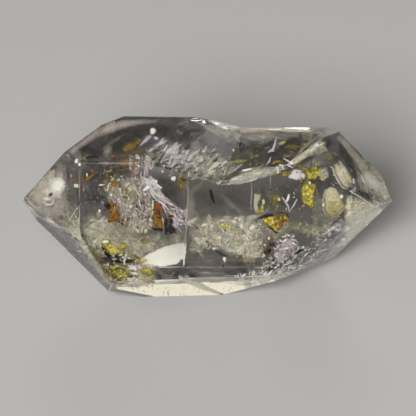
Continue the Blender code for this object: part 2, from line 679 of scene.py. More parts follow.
class Sight:
    """Finds places inside the crystal that show at a given point of the picture."""

    WALL = 0.05 * MM
    PULL = 0.35

    def __init__(self) -> None:
        """Reads the CAD solid's surface."""
        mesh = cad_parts[NODE].data
        corners = [v.co.copy() for v in mesh.vertices]
        self.tree = BVHTree.FromPolygons(corners, [tuple(p.vertices) for p in mesh.polygons])

    def facet(self, across: float, down: float) -> Ray | None:
        """Finds the facet that shows at a point of the picture.

        Args:
            across: pixels from the left side.
            down: pixels from the top.

        Returns:
            A place on the facet and its outward direction, or None beside the crystal.
        """
        ray = VIEW.ray(across, down)
        place, normal, _, _ = self.tree.ray_cast(VIEW.lens_place, ray)
        if place is None:
            return None
        return place, (-normal if normal.dot(ray) > 0.0 else normal)

    def enter(self, across: float, down: float, facet: Ray | None = None) -> Ray | None:
        """Follows the line of sight into the crystal.

        Args:
            across: pixels from the left side.
            down: pixels from the top.
            facet: the facet to look through, the one that shows there where it is None.

        Returns:
            The place where it goes in and its direction inside, or None beside the crystal.
        """
        facet = facet or self.facet(across, down)
        if facet is None:
            return None
        ray = VIEW.ray(across, down)
        normal = facet[1]
        place = VIEW.lens_place + ray * ((facet[0] - VIEW.lens_place).dot(normal) / ray.dot(normal))
        cosine = -normal.dot(ray)
        ratio = 1.0 / QUARTZ_IOR
        bent = ray * ratio + normal * (ratio * cosine - math.sqrt(1.0 - ratio**2 * (1.0 - cosine**2)))
        return place, bent.normalized()

    def entry(self, point: Vector, middle: Vector, facet: Ray | None = None) -> Ray:
        """Follows the line of sight at a point of a body.

        Args:
            point: the point, in pixels.
            middle: the body's middle, which the point moves towards where it lies beside the crystal.
            facet: the facet to look through, the one that shows there where it is None.

        Returns:
            The place where it goes in and its direction inside.
        """
        found = self.enter(point.x, point.y, facet) or self.enter(*point.lerp(middle, self.PULL))
        return found or (self.inside(VIEW.middle), -VIEW.back)

    def inside(self, place: Vector) -> Vector:
        """Moves a place inwards where it lies outside the crystal or too close to its surface."""
        near, normal, _, _ = self.tree.find_nearest(place)
        return place if (near - place).dot(normal) >= self.WALL else near - normal * self.WALL


@dataclass
class Shell:
    """Corners and triangles of closed shells, with what their finish reads."""

    corners: list[Vector] = field(default_factory=list)
    triangles: list[tuple[int, int, int]] = field(default_factory=list)
    tone: list[float] = field(default_factory=list)
    cover: list[float] = field(default_factory=list)
    rim: list[float] = field(default_factory=list)

    def mesh(self, name: str) -> Mesh:
        """Makes one mesh of all shells.

        Args:
            name: the mesh's name.

        Returns:
            The mesh, with its faces outwards.
        """
        mesh = bpy.data.meshes.new(name)
        mesh.from_pydata(self.corners, [], self.triangles)
        for label in SHELL_LAYERS:
            layer = mesh.attributes.new(label, "FLOAT", "POINT")
            layer.data.foreach_set("value", getattr(self, label))
        bm = bmesh.new()
        bm.from_mesh(mesh)
        bmesh.ops.recalc_face_normals(bm, faces=bm.faces)
        bm.to_mesh(mesh)
        bm.free()
        mesh.shade_smooth()
        return mesh


@dataclass(frozen=True)
class Sealed:
    """One thin closed body sealed in the quartz.

    Args:
        name: what it is; not used.
        outline: its edge as the picture shows it, in pixels.
        depth: how deep it lies along the line of sight, in metres.
        thick: greatest thickness, in metres.
        tone: place on its finish's scale of colours.
        cover: how much it hides, 0 to 1.
        soft: width of its fading edge, in pixels.
        ragged: unevenness of its edge, in pixels.
        wave: unevenness of its depth, in metres.
        seed: start of its random shape.
        one_facet: whether all of it is placed through the facet over its middle.
    """

    name: str
    outline: Outline
    depth: float
    thick: float = 0.06 * MM
    tone: float = 0.2
    cover: float = 1.0
    soft: float = 0.0
    ragged: float = 0.6
    wave: float = 0.05 * MM
    seed: int = 0
    one_facet: bool = False

    def bodies(self) -> tuple["Sealed"]:
        """Gives itself as the only body."""
        return (self,)

    @property
    def corners(self) -> list[Vector]:
        """Corners of its outline, in pixels."""
        return [Vector(point) for point in self.outline]

    @property
    def middle(self) -> Vector:
        """Middle of its outline, in pixels."""
        return sum(self.corners, Vector((0.0, 0.0))) / len(self.outline)

    @property
    def step(self) -> float:
        """Distance between its points, in pixels, finer where it is narrow."""
        pairs = list(zip(self.corners, self.corners[1:] + self.corners[:1]))
        area = abs(sum(a.x * b.y - b.x * a.y for a, b in pairs)) / 2
        around = sum((b - a).length for a, b in pairs)
        return min(1.6, max(0.4, 0.9 * area / around))

    def edge(self) -> list[Vector]:
        """Gives the outline with its uneven edge.

        Returns:
            Points at most about one pixel apart.
        """
        spacing = min(1.1, 1.3 * self.step)
        offset = Vector((self.seed * 7.31, self.seed * 3.17, 0.0))
        points = []
        for start, end in zip(self.corners, self.corners[1:] + self.corners[:1]):
            pieces = max(1, round((end - start).length / spacing))
            for step in range(pieces):
                point = start.lerp(end, step / pieces)
                place = Vector((point.x, point.y, 0.0)) * 0.23 + offset
                shift = noise.noise_vector(place) + 0.5 * noise.noise_vector(place * 2.7)
                points.append(point + shift.to_2d() * self.ragged)
        return points

    def filled(self, step: float) -> tuple[list[Vector], list[tuple[int, ...]], list[float]]:
        """Fills the outline with triangles.

        Args:
            step: distance of its inner points, in pixels.

        Returns:
            Points, triangles, and each point's distance to the edge in pixels.
        """
        edge = self.edge()
        count = len(edge)
        low_x, high_x = min(p.x for p in edge), max(p.x for p in edge)
        low_y, high_y = min(p.y for p in edge), max(p.y for p in edge)
        ends = np.array([[*edge[i], *edge[(i + 1) % count]] for i in range(count)])
        grid_x, grid_y = np.meshgrid(
            np.arange(low_x + 0.4 * step, high_x, step), np.arange(low_y + 0.4 * step, high_y, step)
        )
        inner = np.column_stack([grid_x.ravel(), grid_y.ravel()])
        if len(inner):
            inner = inner[(self.gap(inner, ends) > 0.45 * step) & self.within(inner, ends)]
        points = list(edge) + [Vector(p) for p in inner]
        lines = [(i, (i + 1) % count) for i in range(count)]
        result = geometry.delaunay_2d_cdt(points, lines, [list(range(count))], 1, 1e-5)
        flat, triangles = result[0], result[2]
        gaps = self.gap(np.array([p[:] for p in flat]), ends)
        return flat, triangles, list(gaps)

    @staticmethod
    def gap(points: np.ndarray, ends: np.ndarray) -> np.ndarray:
        """Distance of each point to the nearest line of the outline."""
        start, end = ends[:, :2], ends[:, 2:]
        run = end - start
        length = np.maximum((run**2).sum(axis=1), 1e-9)
        offset = points[:, None, :] - start[None]
        share = np.clip((offset * run[None]).sum(axis=2) / length[None], 0.0, 1.0)
        return np.linalg.norm(offset - share[..., None] * run[None], axis=2).min(axis=1)

    @staticmethod
    def within(points: np.ndarray, ends: np.ndarray) -> np.ndarray:
        """Tells which points lie inside the outline."""
        x, y = points[:, 0][:, None], points[:, 1][:, None]
        x0, y0, x1, y1 = (ends[:, i][None] for i in range(4))
        crosses = (y0 > y) != (y1 > y)
        where = (x1 - x0) * (y - y0) / np.where(y1 == y0, 1e-9, y1 - y0) + x0
        return (crosses & (x < where)).sum(axis=1) % 2 == 1

    def depth_at(self, point: Vector) -> float:
        """Depth of the body at one point of the picture, in metres."""
        place = Vector((point.x * 0.11, point.y * 0.11, self.seed * 1.7))
        return self.depth + noise.noise(place) * self.wave

    def add_to(self, shell: Shell, sight: Sight) -> None:
        """Adds the closed body to a shell.

        Args:
            shell: the shell that grows.
            sight: finds the places inside the crystal.
        """
        flat, triangles, gaps = self.filled(self.step)
        middle = self.middle
        facet = sight.facet(middle.x, middle.y) if self.one_facet else None
        widest = max(gaps)
        if widest <= 0.0:
            return
        front, rear = [], []
        for point, gap in zip(flat, gaps):
            place, bent = sight.entry(point, middle, facet)
            depth = self.depth_at(point)
            bump = noise.noise(Vector((point.x * 0.6, point.y * 0.6, self.seed + 0.5)))
            half = 0.5 * self.thick * math.sqrt(min(1.0, gap / (0.55 * widest))) * (1.0 + 0.5 * bump)
            fade = 1.0 if self.soft <= 0.0 else min(1.0, gap / self.soft)
            for side, ends in ((-1.0, front), (1.0, rear)):
                if side > 0.0 and gap <= 1e-3:
                    ends.append(front[-1])
                    continue
                ends.append(len(shell.corners))
                shell.corners.append(sight.inside(place + bent * (depth + side * half)))
                shell.tone.append(self.tone)
                shell.cover.append(self.cover * fade)
                shell.rim.append(min(1.0, gap / widest))
        for a, b, c in triangles:
            if (front[a], front[b], front[c]) != (rear[a], rear[b], rear[c]):
                shell.triangles.append((front[a], front[b], front[c]))
                shell.triangles.append((rear[c], rear[b], rear[a]))


class MottleGroup:
    """Shader group for uneven natural stains, which all sealed finishes use."""

    NAME = "grown_mottle"

    @classmethod
    def tree(cls) -> NodeTree:
        """Builds the group once.

        Returns:
            The group's tree.
        """
        if cls.NAME in bpy.data.node_groups:
            return bpy.data.node_groups[cls.NAME]
        inputs = {"Size": "Float", "Contrast": "Float", "Stretch": "Float", "Along": "Vector"}
        outputs = {"Patches": "Float", "Grain": "Float", "Height": "Float"}
        tree = new_tree(cls.NAME, "ShaderNodeTree", inputs, outputs)
        graph = Graph(tree)
        given = graph.add("NodeGroupInput")
        along = given.outputs["Along"]
        place = graph.add("ShaderNodeTexCoord").outputs["Object"]
        moved = graph.vector("SCALE", place, graph.math("DIVIDE", 1.0 / MM, given.outputs["Size"]))
        run = graph.math("MULTIPLY", graph.vector("DOT_PRODUCT", moved, along), given.outputs["Stretch"])
        pulled = graph.vector("SUBTRACT", moved, graph.vector("SCALE", along, run))
        broad = graph.add("ShaderNodeTexNoise", Vector=pulled, Scale=1.0, Detail=5.0)
        fine = graph.add("ShaderNodeTexNoise", Vector=pulled, Scale=5.0, Detail=3.0, Roughness=0.6)
        cells = graph.add("ShaderNodeTexVoronoi", Vector=pulled, Scale=3.0)
        centred = graph.math("SUBTRACT", broad.outputs[0], 0.5)
        centred = graph.math("MULTIPLY", centred, given.outputs["Contrast"])
        height = graph.math("ADD", graph.math("MULTIPLY", cells.outputs[0], 0.6), fine.outputs[0])
        patches = graph.math("ADD", centred, 0.5)
        graph.add("NodeGroupOutput", Patches=patches, Grain=fine.outputs[0], Height=height)
        return tree

    @classmethod
    def place(
        cls, graph: Graph, size: float, contrast: float, stretch: float, along: Triple
    ) -> Node:
        """Puts the group into a material.

        Args:
            graph: the material's graph.
            size: size of the patches, in millimetres.
            contrast: 1 for the plain pattern, more for a harder one.
            stretch: 0 for round patches, towards 1 for long streaks.
            along: direction of the streaks.

        Returns:
            The group's node.
        """
        return graph.add(
            "ShaderNodeGroup", node_tree=cls.tree(), Size=size, Contrast=contrast, Stretch=stretch,
            Along=tuple(Vector(along).normalized()),
        )


def colour_scale(graph: Graph, value: object, stops: Sequence[Stop]) -> NodeSocket:
    """Turns a value into a colour.

    Args:
        graph: the material's graph.
        value: the value's socket.
        stops: places and colours of the scale.

    Returns:
        The colour.
    """
    ramp = graph.add("ShaderNodeValToRGB")
    elements = ramp.color_ramp.elements
    while len(elements) > 1:
        elements.remove(elements[-1])
    elements[0].position = stops[0][0]
    elements[0].color = (*stops[0][1], 1.0)
    for position, colour in stops[1:]:
        elements.new(position).color = (*colour, 1.0)
    graph.put(ramp.inputs[0], value)
    return ramp.outputs[0]


@dataclass(frozen=True)
class SealedFinish:
    """Finish of bodies sealed in the quartz.

    Args:
        name: the material's name.
        slot: the record's slot; not used.
        stops: colours along the tone scale.
        patch_size: size of its patches, in millimetres.
        unevenness: how far the patches move the tone.
        rough: lowest and highest roughness.
        see_through: how much the patches open gaps in the cover.
        bump: height of its relief, in metres.
        edge_tone: how far the tone moves towards the rim.
        stretch: 0 for round patches, towards 1 for long streaks.
        along: direction of its streaks.
    """

    name: str
    slot: Slot
    stops: Sequence[Stop]
    patch_size: float = 0.25
    unevenness: float = 0.35
    rough: Span = (0.25, 0.5)
    see_through: float = 0.0
    bump: float = 0.02 * MM
    edge_tone: float = 0.0
    stretch: float = 0.0
    along: Triple = (1.0, 0.0, 0.0)

    def build(self) -> Material:
        """Makes the material.

        Returns:
            The material.
        """
        material, graph, shader = new_material(self.name)
        mottle = MottleGroup.place(graph, self.patch_size, 1.6, self.stretch, self.along)
        tone, cover, rim = (
            graph.add("ShaderNodeAttribute", attribute_name=label).outputs["Fac"] for label in SHELL_LAYERS
        )
        shift = graph.math("MULTIPLY", graph.math("SUBTRACT", mottle.outputs["Patches"], 0.5), self.unevenness)
        edge = graph.math("MULTIPLY", graph.spread(rim, 0.30, 0.0), self.edge_tone)
        value = graph.math("ADD", graph.math("ADD", tone, shift), edge)
        graph.put(shader.inputs["Base Color"], colour_scale(graph, value, self.stops))
        graph.put(shader.inputs["Roughness"], graph.spread(mottle.outputs["Grain"], 0.35, 0.7, *self.rough))
        bump = graph.add("ShaderNodeBump", Strength=0.8, Distance=self.bump, Height=mottle.outputs["Height"])
        graph.put(shader.inputs["Normal"], bump.outputs[0])
        if self.see_through > 0.0:
            gaps = graph.spread(mottle.outputs["Grain"], 0.62, 0.38, 1.0 - self.see_through, 1.0)
            closed = graph.math("MAXIMUM", gaps, graph.spread(cover, 0.955, 0.985))
            graph.put(shader.inputs["Alpha"], graph.math("MULTIPLY", cover, closed))
        else:
            graph.put(shader.inputs["Alpha"], cover)
        return material


PETROLEUM = SealedFinish(
    "petroleum_film", Slot.PETROLEUM,
    (
        (0.00, (0.78, 0.70, 0.24)),
        (0.12, (0.52, 0.42, 0.035)),
        (0.28, (0.25, 0.225, 0.018)),
        (0.42, (0.12, 0.095, 0.02)),
        (0.58, (0.45, 0.225, 0.016)),
        (0.80, (0.27, 0.075, 0.009)),
        (0.95, (0.05, 0.018, 0.006)),
    ),
    patch_size=0.13, unevenness=0.75, see_through=0.55, edge_tone=0.10, bump=0.05 * MM,
)
# Solid bitumen; its black also serves painted shade and painted shadows.
BITUMEN = SealedFinish(
    "solid_bitumen_and_painted_shade", Slot.BITUMEN,
    ((0.0, (0.004, 0.003, 0.003)), (0.5, (0.02, 0.012, 0.008)), (1.0, (0.11, 0.045, 0.015))),
    patch_size=0.15, unevenness=0.8, rough=(0.2, 0.6),
)
# Healed cracks in cream and lilac; its white end also serves painted highlights and glints.
HEALED_CRACK = SealedFinish(
    "healed_crack_and_painted_highlight_film", Slot.HEALED_CRACK,
    (
        (0.00, (0.95, 0.94, 0.92)),
        (0.25, (0.85, 0.82, 0.68)),
        (0.45, (0.62, 0.58, 0.46)),
        (0.58, (0.84, 0.77, 0.88)),
        (0.72, (0.66, 0.58, 0.72)),
        (0.84, (0.42, 0.34, 0.50)),
        (1.00, (0.20, 0.30, 0.66)),
    ),
    patch_size=0.20, unevenness=0.20, rough=(0.12, 0.4), see_through=0.40, bump=0.05 * MM,
)
# Frosted growth film; its white end also serves painted highlights along the right tip's ridges.
FROST_AND_HIGHLIGHT = SealedFinish(
    "frosted_growth_and_painted_highlight_film", Slot.HEALED_CRACK,
    (
        (0.00, (0.92, 0.91, 0.88)),
        (0.30, (0.78, 0.76, 0.66)),
        (0.55, (0.55, 0.52, 0.44)),
        (0.75, (0.70, 0.66, 0.72)),
        (1.00, (0.06, 0.056, 0.05)),
    ),
    patch_size=0.16, unevenness=0.9, rough=(0.2, 0.5), see_through=0.95, stretch=0.88, along=(0.70, 0.30, 0.62),
)
# Mottled crack film whose cream tones are painted light: the bright glow seen through the lower front faces.
MOTTLE_AND_LIGHT = SealedFinish(
    "mottled_crack_and_painted_light_film", Slot.HEALED_CRACK,
    (
        (0.00, (0.93, 0.91, 0.82)),
        (0.35, (0.80, 0.76, 0.60)),
        (0.65, (0.56, 0.52, 0.40)),
        (1.00, (0.30, 0.28, 0.22)),
    ),
    patch_size=0.55, unevenness=1.1, rough=(0.3, 0.6), see_through=0.8,
)
# Smoky haze at its light end; its dark end is painted shade, for dark films where facets should look dark.
HAZE_AND_SHADE = SealedFinish(
    "smoky_haze_and_painted_shade", Slot.HEALED_CRACK,
    (
        (0.00, (0.74, 0.70, 0.60)),
        (0.30, (0.60, 0.54, 0.50)),
        (0.50, (0.52, 0.45, 0.47)),
        (0.70, (0.30, 0.26, 0.31)),
        (1.00, (0.03, 0.028, 0.028)),
    ),
    patch_size=1.2, unevenness=0.25, rough=(0.4, 0.7), see_through=0.3, bump=0.01 * MM,
)
GAS_BUBBLE = SealedFinish(
    "gas_bubble_wall", Slot.GAS_BUBBLE,
    (
        (0.0, (0.95, 0.95, 0.93)),
        (0.4, (0.80, 0.76, 0.58)),
        (0.7, (0.48, 0.42, 0.16)),
        (1.0, (0.80, 0.74, 0.90)),
    ),
    patch_size=0.5, unevenness=0.35, rough=(0.05, 0.2), see_through=0.35, bump=0.01 * MM,
)


class Form(Enum):
    """Outlines of small bodies, drawn in a square from -1 to 1, y downwards."""

    BLADE = ((-0.85, -1.0), (0.1, -0.9), (0.95, -1.0), (1.0, -0.45), (0.65, -0.1), (0.75, 0.95), (0.1, 0.85),
             (-0.75, 0.45), (-1.0, -0.1))
    LOBED = ((-0.95, -0.5), (-0.3, -0.55), (0.1, -1.0), (0.5, -0.75), (0.95, -0.3), (0.9, 0.3), (0.45, 0.4),
             (0.2, 1.0), (-0.25, 0.6), (-0.7, 0.75), (-0.8, 0.1))
    SHARD = ((-1.0, -0.2), (-0.2, -0.95), (0.9, -0.7), (1.0, 0.1), (0.35, 0.5), (0.1, 1.0), (-0.5, 0.45))
    OVAL = ((-1.0, 0.0), (-0.75, -0.65), (0.0, -1.0), (0.75, -0.65), (1.0, 0.0), (0.75, 0.65), (0.0, 1.0),
            (-0.75, 0.65))
    SPLINTER = ((-1.0, 0.25), (-0.4, -0.6), (0.35, -1.0), (1.0, -0.35), (0.5, 0.5), (-0.35, 1.0))
    WEDGE = ((-1.0, -1.0), (-0.1, -0.9), (0.5, -0.1), (1.0, 0.9), (0.3, 1.0), (-0.5, 0.2))


BLADE, LOBED, SHARD, OVAL, SPLINTER, WEDGE = Form


def film(
    name: str, outline: Outline, depth: float, tone: float, cover: float = 1.0, soft: float = 0.0,
    **more: object,
) -> Sealed:
    """Describes a sealed body by its outline.

    Args:
        name: what it is.
        outline: its edge as the picture shows it, in pixels.
        depth: millimetres along the line of sight.
        tone: place on its finish's scale of colours.
        cover: how much it hides, 0 to 1.
        soft: width of its fading edge, in pixels.
        more: other fields of Sealed.

    Returns:
        The body, placed through one facet if more doesn't say otherwise.
    """
    settings = {"one_facet": True, **more}
    return Sealed(name, tuple(outline), depth * MM, tone=tone, cover=cover, soft=soft, **settings)


def blot(
    name: str, across: float, down: float, wide: float, high: float, form: Form, turn: float, depth: float,
    tone: float, cover: float = 1.0, soft: float = 0.0, **more: object,
) -> Sealed:
    """Describes a small sealed body by its middle and its size.

    Args:
        name: what it is.
        across: pixels from the left side of the picture.
        down: pixels from the top.
        wide: width in millimetres, before it is turned.
        high: height in millimetres.
        form: its outline.
        turn: degrees, clockwise in the picture.
        depth: millimetres along the line of sight.
        tone: place on its finish's scale of colours.
        cover: how much it hides, 0 to 1.
        soft: width of its fading edge, in pixels.
        more: other fields of Sealed.

    Returns:
        The body.
    """
    cosine, sine = math.cos(math.radians(turn)), math.sin(math.radians(turn))
    half_x, half_y = 0.5 * wide * MM / VIEW.pixel, 0.5 * high * MM / VIEW.pixel
    outline = []
    for x, y in form.value:
        px, py = x * half_x, y * half_y
        outline.append((across + px * cosine - py * sine, down + px * sine + py * cosine))
    small = min(wide, high)
    settings = {
        "thick": min(0.5 * small, 0.22) * MM, "ragged": min(0.9, 1.6 * small), "seed": int(across * 7 + down),
        **more,
    }
    return film(name, outline, depth, tone, cover, soft, **settings)


def stroke(
    name: str, path: Outline, width: float, depth: float, tone: float, cover: float = 1.0, soft: float = 0.0,
    **more: object,
) -> Sealed:
    """Describes a thin sealed streak that follows a path.

    Args:
        name: what it is.
        path: points of the picture, in pixels.
        width: greatest width in millimetres.
        depth: millimetres along the line of sight.
        tone: place on its finish's scale of colours.
        cover: how much it hides, 0 to 1.
        soft: width of its fading edge, in pixels.
        more: other fields of Sealed.

    Returns:
        The body.
    """
    half = 0.5 * width * MM / VIEW.pixel
    points = [Vector(p) for p in path]
    left, right = [], []
    for index, point in enumerate(points):
        ahead = points[min(index + 1, len(points) - 1)] - points[max(index - 1, 0)]
        side = Vector((-ahead.y, ahead.x)).normalized()
        share = index / (len(points) - 1)
        reach = half * (0.25 + 0.75 * math.sin(math.pi * min(1.0, 0.15 + 0.8 * share)))
        left.append(tuple(point + side * reach))
        right.append(tuple(point - side * reach))
    settings = {
        "thick": 0.5 * width * MM, "ragged": min(0.5, 1.5 * width), "seed": int(points[0].x * 5 + points[0].y),
        **more,
    }
    return film(name, left + right[::-1], depth, tone, cover, soft, **settings)


@dataclass(frozen=True)
class Wisps:
    """Many small streaks or flakes that fill an outline.

    Args:
        name: what they are.
        outline: the area that they fill, in pixels.
        count: how many there are.
        turn: direction of their length, degrees clockwise in the picture.
        sway: how far single ones turn away from it, in degrees.
        length: shortest and longest, in millimetres.
        width: narrowest and widest, in millimetres.
        depth: least and greatest, in millimetres.
        tones: lowest and highest place on the finish's scale.
        covers: least and most hiding one.
        soft: width of their fading edges, in pixels.
        seed: start of the random draws.
    """

    SHORTER = 1.3
    NARROWER = 1.5

    name: str
    outline: Outline
    count: int
    turn: float
    sway: float
    length: Span
    width: Span
    depth: Span
    tones: Span
    covers: Span
    soft: float
    seed: int

    def bodies(self) -> tuple[Sealed, ...]:
        """Draws the bodies.

        Returns:
            Closed bodies, each with a place and shape of its own.
        """
        draw = random.Random(self.seed)
        ends = np.array([[*a, *b] for a, b in zip(self.outline, (*self.outline[1:], self.outline[0]))])
        across, down = ends[:, 0], ends[:, 1]
        made: list[Sealed] = []
        while len(made) < self.count:
            x, y = draw.uniform(across.min(), across.max()), draw.uniform(down.min(), down.max())
            if not Sealed.within(np.array([[x, y]]), ends)[0]:
                continue
            long = self.length[0] + (self.length[1] - self.length[0]) * draw.random() ** self.SHORTER
            wide = self.width[0] + (self.width[1] - self.width[0]) * draw.random() ** self.NARROWER
            form = draw.choice((SPLINTER, SHARD, OVAL, WEDGE))
            made.append(blot(
                f"{self.name}_{len(made)}", x, y, long, min(wide, long), form,
                self.turn + draw.gauss(0.0, self.sway), draw.uniform(*self.depth), draw.uniform(*self.tones),
                draw.uniform(*self.covers), self.soft, seed=draw.randrange(900),
            ))
        return tuple(made)


@dataclass(frozen=True)
class SealedGroup:
    """Sealed bodies of one finish that make one piece.

    Args:
        name: the piece's name.
        finish: its finish.
        parts: what it is made of, one by one or drawn at random.
    """

    name: str
    finish: SealedFinish
    parts: Sequence[Sealed | Wisps]

    def build(self, sight: Sight) -> Object:
        """Builds the piece.

        Args:
            sight: finds the places inside the crystal.

        Returns:
            The finished piece.
        """
        shell = Shell()
        for part in self.parts:
            for body in part.bodies():
                body.add_to(shell, sight)
        mesh = shell.mesh(self.name)
        mesh.materials.append(self.finish.build())
        return add_piece(self.name, mesh)


# Areas of the picture, in pixels.
LEFT_CREAM_AREA = ((80, 214), (92, 212), (108, 217), (125, 226), (150, 230), (168, 236), (185, 222),
    (184, 245), (165, 248), (148, 256), (128, 259), (112, 243), (96, 240), (86, 236))
RIGHT_CREAM_AREA = ((189, 219), (203, 216), (222, 215), (240, 214), (254, 216), (264, 227), (268, 246),
    (263, 259), (246, 257), (230, 257), (218, 250), (204, 249), (189, 256))
SIDE_CREAM_AREA = ((262, 222), (284, 219), (302, 221), (322, 226), (336, 216), (326, 232), (308, 238),
    (292, 232), (272, 244))
VALLEY_AREA = ((140, 160), (148, 147), (160, 141), (180, 146), (198, 145), (214, 149), (230, 156), (240, 165),
    (231, 176), (220, 182), (208, 182), (190, 177), (170, 169), (152, 163))
LEDGE_AREA = ((222, 184), (236, 175), (250, 167), (270, 166), (286, 166), (276, 173), (260, 178), (240, 184))
BAR_AREA = ((285, 168), (296, 156), (304, 150), (318, 143), (321, 146), (309, 156), (300, 163))
ROOF_AREA = ((206, 124), (240, 130), (262, 129), (298, 131), (300, 137), (262, 143), (236, 142), (214, 136))
LILAC_AREA = ((148, 150), (158, 142), (172, 142), (188, 151), (198, 162), (186, 170), (170, 164), (156, 158))
CLOUD_AREA = ((276, 244), (284, 236), (292, 232), (299, 244), (302, 252), (298, 262), (284, 270), (268, 272),
    (262, 264), (272, 256))
BEVEL_AREA = ((256, 276), (280, 268), (300, 256), (318, 240), (334, 226), (343, 221), (338, 234), (328, 250),
    (312, 264), (288, 274), (268, 282), (254, 284))
FOOT_AREA = ((84, 240), (98, 240), (118, 254), (142, 262), (140, 284), (112, 285), (92, 262))
NET_AREA = ((105, 190), (122, 182), (136, 178), (146, 186), (152, 200), (154, 216), (150, 230), (138, 232),
    (122, 228), (112, 212))
FAN_AREA = ((146, 180), (160, 186), (166, 198), (178, 206), (186, 212), (182, 224), (176, 228), (168, 214),
    (156, 200))
TIP_AREA = ((36, 190), (52, 176), (66, 166), (70, 190), (66, 216), (52, 212), (40, 206))
RIM_AREA = ((114, 285), (240, 284), (238, 292), (199, 296), (122, 294))
